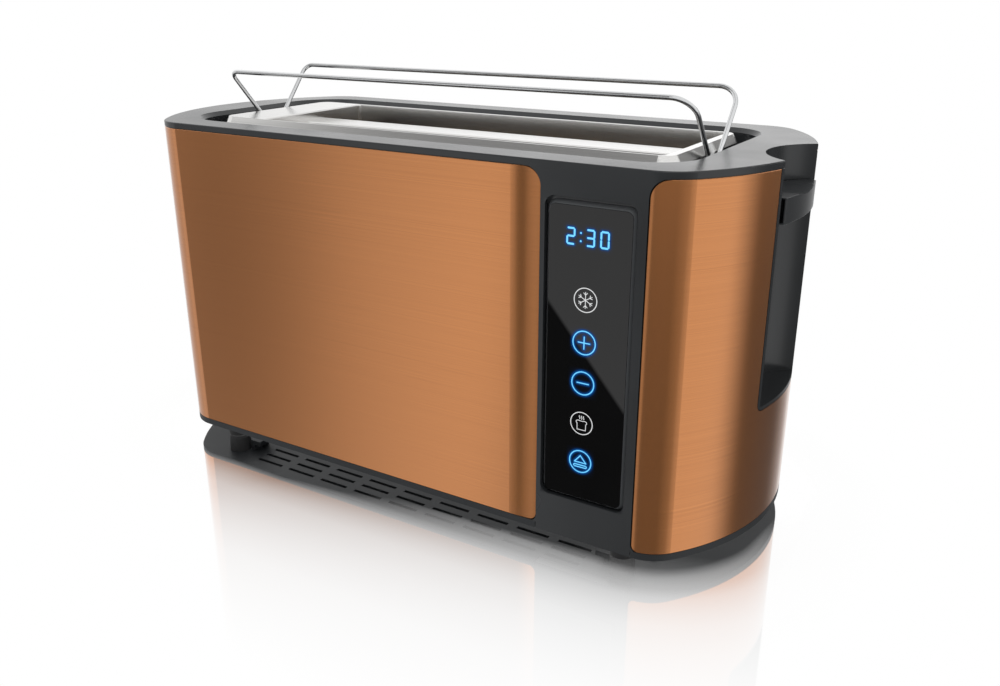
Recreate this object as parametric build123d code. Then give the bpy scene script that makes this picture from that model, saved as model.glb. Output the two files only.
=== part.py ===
from build123d import *
import os
from math import cos, pi, radians, sin, sqrt

# A long-slot pop-up toaster, in millimetres.
# The origin is on the floor under the middle of the plan, X runs along the front,
# Y runs to the back and Z points up.

# Outer body
BODY_LENGTH = 394.0
BODY_DEPTH = 170.0
END_RADIUS = 118.0
CORNER_RADIUS = 24.0
FOOT_HEIGHT = 10.5
BASE_EDGE = 3.7
WRAP_HEIGHT = 187.8
COVER_EDGE = 3.6
COVER_ROUND = 0.6
SHEET = 1.0
PANEL_GAP = 0.4
SHADOW_GAP = 0.5
SHADOW_DEPTH = 0.6
SEAM_EDGE = 0.3
SEAT_GAP = 0.2

# Seams of the steel wrap beside the control panel
SEAM_END_GAP = 46.2
CONTROL_WIDTH = 55.1
SEAM_TOP_RADIUS = 9.0
SEAM_BOTTOM_RADIUS = 4.0
ROLL_LENGTH = 16.0
ROLL_DEPTH = 1.2

# Base moulding and feet
FLOOR_THICKNESS = 2.2
RIM_WIDTH = 6.0
LIP_HEIGHT = 5.0
LIP_WALL = 2.0
VENT_LENGTH = 20.6
VENT_WIDTH = 2.4
VENT_PITCH_Y = 7.7
VENT_COLUMN_COUNT = 9
VENT_ROW_COUNT = 3
VENT_EDGE_GAP = 9.5
VENT_FOOT_GAP = 15.0
FOOT_END_GAP = 57.0
FOOT_SIDE_GAP = 15.5
FOOT_RADIUS = 7.2
FOOT_TIP_RADIUS = 6.6
FOOT_CHAMFER = 1.2
HOOK_FOOT_GAP = 8.2
HOOK_FRONT_GAP = 17.0
HOOK_DROP = 7.0
HOOK_WIDTH = 13.0
HOOK_WALL = 3.0
HOOK_REACH = 5.0
GLAND_END_GAP = 35.0
GLAND_SIDE_GAP = 23.0
GLAND_RADIUS = 6.0
GLAND_BORE = 3.6
GLAND_FLANGE = 2.5
GLAND_HEAD = 3.0

# Top cover and its well
WELL_LEFT_EDGE = 29.3
WELL_RIGHT_EDGE = 40.5
WELL_SIDE_EDGE = 20.0
WELL_LEFT_RADIUS = 32.0
WELL_RIGHT_RADIUS = 22.0
WELL_WALL = 2.0
WELL_DEPTH = 15.6
WELL_FLOOR = 2.0
WELL_CHAMFER = 2.4
SKIRT_DEPTH = 10.0
SKIRT_WALL = 2.0

# Slot plate
PLATE_LEFT_GAP = 15.7
PLATE_RIGHT_GAP = 9.0
PLATE_SIDE_GAP = 15.8
PLATE_CORNER = 9.5
PLATE_BEVEL_OUT = 2.4
PLATE_BEVEL_DOWN = 4.5
PLATE_SHEET = 1.2
PLATE_FLANGE = 0.8
SLOT_LEFT_EDGE = 34.0
SLOT_RIGHT_EDGE = 7.5
SLOT_SIDE_EDGE = 4.2
BRIDGE_HALF = 11.0
BRIDGE_DROP = 5.0
SLOT_WALL_DEPTH = 12.6
SLOT_EDGE_ROUND = 0.8
BRIDGE_ROUND = 1.5

# Control section, which is one moulding with the cover
CONTROL_DEPTH = 5.0
CONTROL_RECESS = 1.8
CONTROL_LEFT_EDGE = 2.5
CONTROL_RIGHT_EDGE = 3.3
CONTROL_ROUND = 6.5
FLANGE_REACH = 7.5
FLANGE_WALL = 1.8
GLASS_LEFT_EDGE = 0.7
GLASS_RIGHT_EDGE = 2.3
GLASS_FOOT_EDGE = 19.6
GLASS_HEAD_EDGE = 14.2
GLASS_THICKNESS = 3.0
GLASS_PROUD = 1.2
GLASS_CORNER = 5.0
GLASS_BEVEL = 1.9
GLASS_BEVEL_DEPTH = 2.5
GLASS_TOP_GAP = 2.0
BUTTON_EDGE = 22.0
BUTTON_RISE = 22.5
BUTTON_COUNT = 5
PAD_RADIUS = 4.0
PAD_HOLE_GAP = 0.8
DISPLAY_DROP = 16.3
DISPLAY_BUTTON_GAP = 30.1
DISPLAY_WIDTH = 28.0
DISPLAY_HEIGHT = 16.0
WINDOW_GAP = 1.0
BOARD_THICKNESS = 1.6
BOARD_STAND_OFF = 5.0
BOARD_MARGIN = 1.5
BOARD_POST_RADIUS = 2.5
BOARD_POST_INSET = 6.0

# Lever recess in the right end
RECESS_RADIUS = 35.0
RECESS_OUT = 14.6
RECESS_RISE = 67.8
RECESS_WALL = 2.0
RECESS_FLANGE = 7.0
RECESS_CORNER = 4.0
LEVER_DROP = 27.0
LEVER_HEIGHT = 12.8
LEVER_HALF_WIDTH = 26.5
LEVER_PROUD = 0.8
LEVER_GAP = 0.8
LEVER_ROUND = 0.6
LEVER_SKIN = 0.7
LEVER_POCKET = 10.0
LEVER_SCOOP_RADIUS = 60.0
LEVER_SCOOP_DEPTH = 1.6
LEVER_REST_GAP = 8.0
LEVER_SLOT_HALF = 2.5
LEVER_SLOT_SPARE = 3.0

# Chassis round the toasting chamber
CHAMBER_LEFT_GAP = 2.0
CHAMBER_RIGHT_GAP = 1.8
CHASSIS_SIDE_GAP = 13.0
CHASSIS_SHEET = 1.2
CHASSIS_FOOT_REACH = 12.0
CHASSIS_FOOT_WIDTH = 22.0
SHIELD_SHEET = 0.8
SHIELD_RISE = 15.3
RACK_SLOT_HALF = 1.2
RACK_SLOT_SPARE = 2.0
SCREW_RADIUS = 1.45
SCREW_HOLE_GAP = 0.15
SCREW_HEAD_RADIUS = 3.0
SCREW_HEAD = 2.0
SCREW_LENGTH = 8.0

# Heaters
HEATER_INNER_GAP = 4.5
HEATER_OUTER_GAP = 6.5
HEATER_SHEET = 1.0
HEATER_RISE = 29.3
HEATER_DROP = 8.0
HEATER_END_GAP = 0.2
RIBBON_COUNT = 8
RIBBON_HEIGHT = 2.0
RIBBON_THICKNESS = 0.4
RIBBON_MARGIN = 10.0

# Bread guards
GUARD_INNER_GAP = 2.7
GUARD_OUTER_GAP = 0.7
GUARD_PIVOT_RISE = 21.3
GUARD_DROP = 4.0
GUARD_PIVOT_RADIUS = 1.2
GUARD_PIVOT_GAP = 0.07
GUARD_PIVOT_SPARE = 1.5
GUARD_WIRE_RADIUS = 0.9
GUARD_WIRE_COUNT = 11
GUARD_END = 8.0

# Carriage and bread racks
RACK_REST_GAP = 9.0
RACK_WEB = 10.0
RACK_SHEET = 1.2
RACK_PRONG_HALF = 7.0
RACK_PRONG_WIDTH = 4.0
RACK_PRONG_COUNT = 10
RACK_PRONG_END = 14.0
RACK_LEFT_SPARE = 3.0
CARRIAGE_GAP = 3.0
CARRIAGE_SIDE = 9.0
CARRIAGE_DROP = 16.0
CARRIAGE_HEIGHT = 22.0
ROD_REACH = 15.0
ROD_Y = 12.0
ROD_RADIUS = 3.0
ROD_GAP = 0.06
ROD_DROP = 10.0
ROD_SEAT = 0.4
BOSS_RADIUS = 6.0
BOSS_HEIGHT = 5.0
BUSH_RADIUS = 6.0
BUSH_DROP = 4.0
BUSH_HEIGHT = 38.0
SHELF_RISE = 10.0
SHELF_REACH = 19.0
SHELF_FRONT_EDGE = 11.0
SHELF_BACK_Y = -5.0
ARM_THICKNESS = 3.0
ARM_WIDTH = 6.0
ARM_HEIGHT = 10.0
ARM_ROD_GAP = 7.0
ARM_TIP_GAP = 7.0
ARM_SOCKET_GAP = 0.1
BRACKET_DROP = 16.0
BRACKET_SHEET = 1.5
BRACKET_REACH = 21.0
BRACKET_FRONT = -14.0
BRACKET_BACK = 18.0
BRACKET_LEG = 12.0
SPRING_ROD_GAP = 2.0
SPRING_Y = -9.5
SPRING_RADIUS = 3.2
SPRING_WIRE = 0.45
SPRING_TURN_COUNT = 12
MAGNET_FOOT_GAP = 22.0
MAGNET_LENGTH = 16.0
MAGNET_WIDTH = 20.0
MAGNET_LEG = 4.0
MAGNET_CORE = 6.0
MAGNET_YOKE = 4.0
COIL_WALL = 2.5
COIL_GAP = 0.2
ARMATURE_THICKNESS = 3.4
ARMATURE_GAP = 0.3

# Power electronics behind the right end
POWER_ROD_GAP = 8.0
POWER_FOOT_GAP = 8.0
POWER_LENGTH = 34.0
POWER_HEIGHT = 55.0

# Folding warming rack
BAIL_WIRE = 1.3
BAIL_LEFT_GAP = 1.7
BAIL_RIGHT_GAP = 1.7
BAIL_PIVOT_Y = 2.2
BAIL_PIVOT_RISE = 3.0
BAIL_LEAN = 40.2
BAIL_FOLD_GAP = 2.8
BAIL_LEFT_BEND = 6.0
BAIL_RIGHT_BEND = 12.0
BAIL_FOOT_BEND = 2.0
BAIL_PIN = 5.4
BAIL_PIN_GAP = 0.06
BAIL_EAR = 3.0
BAIL_EAR_GAP = 0.9
BAIL_EAR_HALF = 6.5
BAIL_EAR_RISE = 3.2

# Crumb tray
TRAY_SIDE_GAP = 3.0
TRAY_FRONT_GAP = 3.0
TRAY_BACK_GAP = 5.0
TRAY_SHEET = 0.8
TRAY_HEIGHT = 8.0
TRAY_LIFT = 2.0
TRAY_RUN_GAP = 0.3
TRAY_RAIL_WIDTH = 5.0
TRAY_RAIL_INSET = 30.0
TRAY_MOUTH_GAP = 0.4
TRAY_MOUTH_HEIGHT = 10.2
TRAY_MOUTH_OVERHANG = 2.0
PULL_WIDTH = 60.0
PULL_DEPTH = 3.0

# Levels that follow from the sizes above
BASE_Z = FOOT_HEIGHT
FLOOR_Z = BASE_Z + FLOOR_THICKNESS
WRAP_Z = BASE_Z + BASE_EDGE
COVER_Z = WRAP_Z + WRAP_HEIGHT
TOP_Z = COVER_Z + COVER_EDGE
WELL_Z = TOP_Z - WELL_DEPTH
CHASSIS_TOP = WELL_Z - WELL_FLOOR
GLASS_BOTTOM = WRAP_Z + GLASS_FOOT_EDGE
GLASS_TOP = COVER_Z - GLASS_HEAD_EDGE
DISPLAY_Z = GLASS_TOP - DISPLAY_DROP
BUTTON_LOW_Z = GLASS_BOTTOM + BUTTON_RISE
BUTTON_HIGH_Z = DISPLAY_Z - DISPLAY_BUTTON_GAP
RECESS_FLOOR = WRAP_Z + RECESS_RISE
LEVER_BOTTOM = COVER_Z - LEVER_DROP
LEVER_TRAVEL = LEVER_BOTTOM - RECESS_FLOOR - LEVER_REST_GAP
SHIELD_BOTTOM = FLOOR_Z + SHIELD_RISE
HEATER_BOTTOM = FLOOR_Z + HEATER_RISE
HEATER_TOP = CHASSIS_TOP - HEATER_DROP
GUARD_PIVOT_Z = FLOOR_Z + GUARD_PIVOT_RISE
GUARD_TOP = CHASSIS_TOP - GUARD_DROP
RACK_TOP = GUARD_PIVOT_Z + RACK_REST_GAP + LEVER_TRAVEL
CARRIAGE_BOTTOM = RACK_TOP - CARRIAGE_DROP
BUSH_BOTTOM = CARRIAGE_BOTTOM - BUSH_DROP
SHELF_Z = CARRIAGE_BOTTOM + SHELF_RISE
ROD_TOP = CHASSIS_TOP - ROD_DROP
BRACKET_Z = CHASSIS_TOP - BRACKET_DROP
BAIL_PIVOT_Z = WELL_Z + BAIL_PIVOT_RISE

# Places along the body
END_X = BODY_LENGTH / 2
SEAM_RIGHT = END_X - SEAM_END_GAP
SEAM_LEFT = SEAM_RIGHT - CONTROL_WIDTH
CONTROL_LEFT = SEAM_LEFT + CONTROL_LEFT_EDGE
CONTROL_RIGHT = SEAM_RIGHT - CONTROL_RIGHT_EDGE
GLASS_LEFT = CONTROL_LEFT + GLASS_LEFT_EDGE
GLASS_RIGHT = CONTROL_RIGHT - GLASS_RIGHT_EDGE
BUTTON_X = GLASS_LEFT + BUTTON_EDGE
RECESS_CENTRE_X = END_X + RECESS_OUT
RECESS_MOUTH = RECESS_RADIUS + RECESS_WALL
FOOT_X = END_X - FOOT_END_GAP
HOOK_X = FOOT_X - HOOK_FOOT_GAP
GLAND_X = END_X - GLAND_END_GAP
WELL_LEFT = WELL_LEFT_EDGE - END_X
WELL_RIGHT = END_X - WELL_RIGHT_EDGE
PLATE_LEFT = WELL_LEFT + PLATE_LEFT_GAP
PLATE_RIGHT = WELL_RIGHT - PLATE_RIGHT_GAP
SLOT_LEFT = PLATE_LEFT + SLOT_LEFT_EDGE
SLOT_RIGHT = PLATE_RIGHT - SLOT_RIGHT_EDGE
CHAMBER_LEFT = SLOT_LEFT - CHAMBER_LEFT_GAP
CHAMBER_RIGHT = SLOT_RIGHT + CHAMBER_RIGHT_GAP
CARRIAGE_X = CHAMBER_RIGHT + CHASSIS_SHEET + CARRIAGE_GAP
ROD_X = CHAMBER_RIGHT + CHASSIS_SHEET + ROD_REACH
SPRING_X = ROD_X - SPRING_ROD_GAP
POWER_X = ROD_X + POWER_ROD_GAP
ARM_LEG_X = ROD_X + ARM_ROD_GAP
ARM_TIP_X = END_X - ARM_TIP_GAP
BAIL_LEFT = PLATE_LEFT - BAIL_LEFT_GAP
BAIL_RIGHT = PLATE_RIGHT + BAIL_RIGHT_GAP
FAR = 2 * BODY_LENGTH

# Places across the body
FRONT_Y = -BODY_DEPTH / 2
BACK_Y = BODY_DEPTH / 2
SKIN_INSET = SHEET + ROLL_DEPTH + SEAT_GAP
CONTROL_FACE = FRONT_Y + CONTROL_RECESS
CONTROL_BACK = FRONT_Y + CONTROL_DEPTH
FOOT_Y = BACK_Y - FOOT_SIDE_GAP
HOOK_Y = FRONT_Y + HOOK_FRONT_GAP
VENT_FRONT_Y = FRONT_Y + VENT_EDGE_GAP
GLAND_Y = BACK_Y - GLAND_SIDE_GAP
WELL_HALF_DEPTH = BACK_Y - WELL_SIDE_EDGE
PLATE_HALF_DEPTH = WELL_HALF_DEPTH - PLATE_SIDE_GAP
SLOT_OUTER_Y = PLATE_HALF_DEPTH - SLOT_SIDE_EDGE
CHASSIS_HALF_DEPTH = SLOT_OUTER_Y + CHASSIS_SIDE_GAP
CHASSIS_FOOT_Y = CHASSIS_HALF_DEPTH - CHASSIS_FOOT_WIDTH / 2
HEATER_INNER_Y = BRIDGE_HALF - HEATER_INNER_GAP
HEATER_OUTER_Y = SLOT_OUTER_Y + HEATER_OUTER_GAP
GUARD_INNER_Y = BRIDGE_HALF + GUARD_INNER_GAP
GUARD_OUTER_Y = SLOT_OUTER_Y - GUARD_OUTER_GAP
RACK_Y = (GUARD_INNER_Y + GUARD_OUTER_Y) / 2
CARRIAGE_HALF = RACK_Y + CARRIAGE_SIDE
MAGNET_Y = MAGNET_FOOT_GAP - CHASSIS_FOOT_Y
POWER_Y = CHASSIS_FOOT_Y - CHASSIS_FOOT_WIDTH / 2 - POWER_FOOT_GAP
BAIL_REACH = PLATE_HALF_DEPTH + BAIL_FOLD_GAP - BAIL_PIVOT_Y
TRAY_FRONT = TRAY_FRONT_GAP - CHASSIS_HALF_DEPTH
TRAY_BACK = BACK_Y - TRAY_BACK_GAP


def box(x0, x1, y0, y1, z0, z1):
    """A block between two corners."""
    centre = Pos((x0 + x1) / 2, (y0 + y1) / 2, (z0 + z1) / 2)
    return centre * Box(x1 - x0, y1 - y0, z1 - z0)


def post(x, y, z0, z1, radius):
    """A round post along Z."""
    return Pos(x, y, (z0 + z1) / 2) * Cylinder(radius, z1 - z0)


def bar(y, z, x0, x1, radius):
    """A round bar along X."""
    return Pos((x0 + x1) / 2, y, z) * Rot(0, 90, 0) * Cylinder(radius, x1 - x0)


def stud(x, z, y0, y1, radius):
    """A round stud along Y."""
    return Pos(x, (y0 + y1) / 2, z) * Rot(90, 0, 0) * Cylinder(radius, y1 - y0)


def prism(face, z0, z1):
    """A plan face raised from z0 to z1."""
    return extrude(Pos(0, 0, z0) * face, amount=z1 - z0, dir=(0, 0, 1))


def plan(inset):
    """The body's plan, drawn in by an inset: straight front and back, arched ends, rounded corners."""
    half = BODY_DEPTH / 2 - inset
    arch = END_RADIUS - inset
    corner = CORNER_RADIUS - inset
    arch_x = BODY_LENGTH / 2 - END_RADIUS
    corner_y = BODY_DEPTH / 2 - CORNER_RADIUS
    corner_x = arch_x + sqrt((END_RADIUS - CORNER_RADIUS) ** 2 - corner_y**2)
    along_x = (corner_x - arch_x) / (END_RADIUS - CORNER_RADIUS)
    along_y = corner_y / (END_RADIUS - CORNER_RADIUS)
    meet = (arch_x + arch * along_x, arch * along_y)
    bulge = sqrt((along_x**2 + (along_y + 1) ** 2))
    mid = (corner_x + corner * along_x / bulge, corner_y + corner * (along_y + 1) / bulge)
    side = (corner_x, half)
    tip = (arch_x + arch, 0)

    def at(point, sx, sy):
        return (sx * point[0], sy * point[1])

    edges = [Edge.make_line(at(side, -1, -1), at(side, 1, -1))]
    edges.append(Edge.make_three_point_arc(at(side, 1, -1), at(mid, 1, -1), at(meet, 1, -1)))
    edges.append(Edge.make_three_point_arc(at(meet, 1, -1), tip, at(meet, 1, 1)))
    edges.append(Edge.make_three_point_arc(at(meet, 1, 1), at(mid, 1, 1), at(side, 1, 1)))
    edges.append(Edge.make_line(at(side, 1, 1), at(side, -1, 1)))
    edges.append(Edge.make_three_point_arc(at(side, -1, 1), at(mid, -1, 1), at(meet, -1, 1)))
    edges.append(Edge.make_three_point_arc(at(meet, -1, 1), at(tip, -1, 1), at(meet, -1, -1)))
    edges.append(Edge.make_three_point_arc(at(meet, -1, -1), at(mid, -1, -1), at(side, -1, -1)))
    return Face(Wire(edges))


def skin(inset_out, inset_in, z0, z1):
    """A wall that follows the plan, between two insets."""
    return prism(plan(inset_out), z0, z1) - prism(plan(inset_in), z0, z1)


def rectangle(x0, x1, y0, y1, radius):
    """A plan rectangle with one corner radius."""
    return Pos((x0 + x1) / 2, (y0 + y1) / 2) * RectangleRounded(x1 - x0, y1 - y0, radius)


def well(grow):
    """The well's plan, grown by a wall: rounder corners on the left than on the right."""
    left = WELL_LEFT - grow
    right = WELL_RIGHT + grow
    half = WELL_HALF_DEPTH + grow
    face = Pos((left + right) / 2, 0) * Rectangle(right - left, 2 * half)
    face = fillet(face.vertices().group_by(Axis.X)[0], WELL_LEFT_RADIUS + grow)
    return fillet(face.vertices().sort_by(Axis.X)[-2:], WELL_RIGHT_RADIUS + grow)


def recess(radius):
    """The round of the lever recess, as a plan disc."""
    return Pos(RECESS_CENTRE_X, 0) * Circle(radius)


def edges_at(shape, axis, x=None, z=None):
    """Straight edges along an axis that lie at a given x or z."""
    found = shape.edges().filter_by(axis)
    if x is not None:
        found = found.filter_by(lambda edge: abs(edge.center().X - x) < 0.01)
    if z is not None:
        found = found.filter_by(lambda edge: abs(edge.center().Z - z) < 0.01)
    return found


def spread(first, last, count):
    """Evenly spaced places from first to last."""
    return [first + (last - first) * i / (count - 1) for i in range(count)]


# Base moulding
def rack_screw_places():
    """Where the chassis feet are screwed to the base."""
    reach = CHASSIS_SHEET + CHASSIS_FOOT_REACH / 2
    xs = (CHAMBER_LEFT - reach, CHAMBER_RIGHT + reach)
    return [(x, y) for x in xs for y in (-CHASSIS_FOOT_Y, CHASSIS_FOOT_Y)]


def tray_mouth():
    """Left and right side of the mouth that the crumb tray slides out of."""
    left = CHAMBER_LEFT + TRAY_SIDE_GAP - TRAY_MOUTH_OVERHANG
    right = CHAMBER_RIGHT - TRAY_SIDE_GAP + TRAY_MOUTH_OVERHANG
    return left, right


def base_plate():
    mouth_left, mouth_right = tray_mouth()
    body = prism(plan(0), BASE_Z, WRAP_Z) - prism(plan(RIM_WIDTH), FLOOR_Z, WRAP_Z)
    body -= box(SEAM_LEFT, SEAM_RIGHT, -FAR, CONTROL_BACK + SEAT_GAP, 0, FAR)
    lip = skin(SKIN_INSET, SKIN_INSET + LIP_WALL, WRAP_Z - SEAT_GAP, WRAP_Z + LIP_HEIGHT)
    clear = FLANGE_REACH + SEAT_GAP
    lip -= box(SEAM_LEFT - clear, SEAM_RIGHT + clear, FRONT_Y, 0, 0, TOP_Z)
    lip -= box(mouth_left - SHEET, mouth_right + SHEET, 0, BACK_Y, 0, TOP_Z)
    body += lip
    rails = []
    for x in (CHAMBER_LEFT + TRAY_RAIL_INSET, CHAMBER_RIGHT - TRAY_RAIL_INSET):
        half = TRAY_RAIL_WIDTH / 2
        rails.append(box(x - half, x + half, TRAY_FRONT, BACK_Y - RIM_WIDTH, FLOOR_Z, FLOOR_Z + TRAY_LIFT))
    rails.append(post(ROD_X, ROD_Y, FLOOR_Z, FLOOR_Z + BOSS_HEIGHT, BOSS_RADIUS))
    for side in (-1, 1):
        low = BASE_Z - HOOK_DROP
        wall = sorted((side * HOOK_X, side * (HOOK_X - HOOK_WALL)))
        arm = sorted((side * HOOK_X, side * (HOOK_X - HOOK_WALL - HOOK_REACH)))
        rails.append(box(*wall, HOOK_Y, HOOK_Y + HOOK_WIDTH, low, BASE_Z))
        rails.append(box(*arm, HOOK_Y, HOOK_Y + HOOK_WIDTH, low, low + HOOK_WALL))
    body += rails
    cuts = [post(ROD_X, ROD_Y, FLOOR_Z + ROD_SEAT, TOP_Z, ROD_RADIUS + ROD_GAP)]
    cuts.append(post(GLAND_X, GLAND_Y, 0, TOP_Z, GLAND_RADIUS + ROD_GAP))
    for x, y in rack_screw_places():
        cuts.append(post(x, y, 0, TOP_Z, SCREW_RADIUS + SCREW_HOLE_GAP))
    half_row = FOOT_X - FOOT_RADIUS - VENT_FOOT_GAP - VENT_LENGTH / 2
    for x in spread(-half_row, half_row, VENT_COLUMN_COUNT):
        for row in range(VENT_ROW_COUNT):
            y = VENT_FRONT_Y + VENT_PITCH_Y * row
            half_x = VENT_LENGTH / 2
            half_y = VENT_WIDTH / 2
            cuts.append(box(x - half_x, x + half_x, y - half_y, y + half_y, 0, FLOOR_Z + LIP_HEIGHT))
    return body - cuts


def feet():
    foot = Pos(0, 0, FOOT_HEIGHT / 2) * Cone(FOOT_TIP_RADIUS, FOOT_RADIUS, FOOT_HEIGHT)
    foot = chamfer(foot.edges().group_by(Axis.Z)[0], FOOT_CHAMFER)
    return Compound(children=[Pos(x, y) * foot for x in (-FOOT_X, FOOT_X) for y in (-FOOT_Y, FOOT_Y)])


def base_screws():
    screw = post(0, 0, BASE_Z - SCREW_HEAD, BASE_Z, SCREW_HEAD_RADIUS)
    screw += post(0, 0, BASE_Z - SCREW_HEAD, BASE_Z + SCREW_LENGTH, SCREW_RADIUS)
    return Compound(children=[Pos(x, y) * screw for x, y in rack_screw_places()])


def cord_gland():
    bush = post(GLAND_X, GLAND_Y, BASE_Z - GLAND_FLANGE, BASE_Z, GLAND_RADIUS + GLAND_FLANGE)
    bush += post(GLAND_X, GLAND_Y, BASE_Z - GLAND_FLANGE, FLOOR_Z + GLAND_HEAD, GLAND_RADIUS)
    return bush - post(GLAND_X, GLAND_Y, 0, TOP_Z, GLAND_BORE)


# Steel wrap
def corner_waste(x, z, side_x, side_z, radius):
    """What is cut away to round a front corner of the sheet, whose sides point into the sheet."""
    far_x = x + side_x * radius
    far_z = z + side_z * radius
    block = box(min(x, far_x), max(x, far_x), -FAR, 0, min(z, far_z), max(z, far_z))
    return block - stud(far_x, far_z, -FAR, 0, radius)


def rolled_edge():
    """The last strip of the front sheet, rolled in a little towards the seam."""
    flat_end = SEAM_LEFT - ROLL_LENGTH
    radius = (ROLL_LENGTH**2 + ROLL_DEPTH**2) / (2 * ROLL_DEPTH)
    ring = Pos(flat_end, FRONT_Y + radius) * (Circle(radius) - Circle(radius - SHEET))
    ring = prism(ring, WRAP_Z, COVER_Z)
    return ring & box(flat_end, SEAM_LEFT, -FAR, FRONT_Y + CONTROL_DEPTH, 0, FAR)


def eased_seam(wrap, x):
    """The sheet with the outer front edge of its upright seam broken."""
    upright = edges_at(wrap, Axis.Z, x=x)
    return chamfer(upright.group_by(Axis.Y)[0], SEAM_EDGE)


def left_wrap():
    mouth_left, mouth_right = tray_mouth()
    wrap = skin(0, SHEET, WRAP_Z, COVER_Z)
    wrap -= box(SEAM_LEFT - ROLL_LENGTH, FAR, -FAR, 0, 0, FAR)
    wrap += rolled_edge()
    wrap -= box(SEAM_RIGHT - PANEL_GAP, FAR, 0, FAR, 0, FAR)
    wrap -= box(mouth_left, mouth_right, 0, FAR, 0, WRAP_Z + TRAY_MOUTH_HEIGHT)
    wrap -= [
        corner_waste(SEAM_LEFT, COVER_Z, -1, -1, SEAM_TOP_RADIUS),
        corner_waste(SEAM_LEFT, WRAP_Z, -1, 1, SEAM_BOTTOM_RADIUS),
    ]
    return eased_seam(wrap, SEAM_LEFT)


def right_wrap():
    wrap = skin(0, SHEET, WRAP_Z, COVER_Z) - box(-FAR, SEAM_RIGHT, -FAR, FAR, 0, FAR)
    wrap -= recess_mouth(PANEL_GAP)
    wrap -= [
        corner_waste(SEAM_RIGHT, COVER_Z, 1, -1, SEAM_TOP_RADIUS),
        corner_waste(SEAM_RIGHT, WRAP_Z, 1, 1, SEAM_BOTTOM_RADIUS),
    ]
    return eased_seam(wrap, SEAM_RIGHT)


def recess_half():
    """Half the width of the recess moulding, where its wall comes out flush with the steel."""
    arch_x = BODY_LENGTH / 2 - END_RADIUS
    gap = RECESS_CENTRE_X - arch_x
    along = (END_RADIUS**2 - RECESS_MOUTH**2 + gap**2) / (2 * gap)
    return sqrt(END_RADIUS**2 - along**2)


def recess_mouth(gap):
    """The cut-out for the lever recess, seen from the end, with a gap round the moulding."""
    height = FAR
    low = RECESS_FLOOR - RECESS_WALL - gap
    width = 2 * (recess_half() + gap)
    mouth = Pos(0, low + height / 2) * RectangleRounded(width, height, RECESS_CORNER + gap)
    start = RECESS_CENTRE_X - RECESS_MOUTH - FLANGE_REACH
    return extrude(Plane.YZ.offset(start) * mouth, amount=FAR, dir=(1, 0, 0))


# Top cover with the control section
def control_recess():
    """What is taken off the front between the seams: a panel that flares and rolls over at the top."""
    flare = SEAM_TOP_RADIUS + COVER_EDGE
    bend = TOP_Z - flare
    low = -FAR
    high = FAR
    inward = flare * (1 - sqrt(0.5))
    left, right = CONTROL_LEFT, CONTROL_RIGHT
    left_mid = (left - inward, TOP_Z - inward)
    right_mid = (right + inward, TOP_Z - inward)
    outline = [
        Edge.make_line((left, low), (left, bend)),
        Edge.make_three_point_arc((left, bend), left_mid, (left - flare, TOP_Z)),
        Edge.make_line((left - flare, TOP_Z), (left - flare, high)),
        Edge.make_line((left - flare, high), (right + flare, high)),
        Edge.make_line((right + flare, high), (right + flare, TOP_Z)),
        Edge.make_three_point_arc((right + flare, TOP_Z), right_mid, (right, bend)),
        Edge.make_line((right, bend), (right, low)),
        Edge.make_line((right, low), (left, low)),
    ]
    roll_z = TOP_Z - CONTROL_ROUND
    roll_y = CONTROL_FACE + CONTROL_ROUND
    turn = CONTROL_ROUND * (1 - sqrt(0.5))
    roll_mid = (CONTROL_FACE + turn, TOP_Z - turn)
    profile = [
        Edge.make_line((CONTROL_FACE, low), (CONTROL_FACE, roll_z)),
        Edge.make_three_point_arc((CONTROL_FACE, roll_z), roll_mid, (roll_y, TOP_Z)),
        Edge.make_line((roll_y, TOP_Z), (roll_y, high)),
        Edge.make_line((roll_y, high), (-FAR, high)),
        Edge.make_line((-FAR, high), (-FAR, low)),
        Edge.make_line((-FAR, low), (CONTROL_FACE, low)),
    ]
    front = extrude(Plane.XZ * Face(Wire(outline)), amount=FAR)
    return front & extrude(Plane.YZ * Face(Wire(profile)), amount=FAR)


def corner_fill(x, z, side_x, side_z, radius):
    """Moulding that fills the space beside a rounded corner of the sheet."""
    far_x = x + side_x * radius
    far_z = z + side_z * radius
    near_x = x - side_x * PANEL_GAP
    block = box(min(near_x, far_x), max(near_x, far_x), -FAR, 0, min(z, far_z), max(z, far_z))
    block -= stud(far_x, far_z, -FAR, 0, radius + PANEL_GAP)
    return block & skin(0, SKIN_INSET + FLANGE_WALL, WRAP_Z, COVER_Z)


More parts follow.
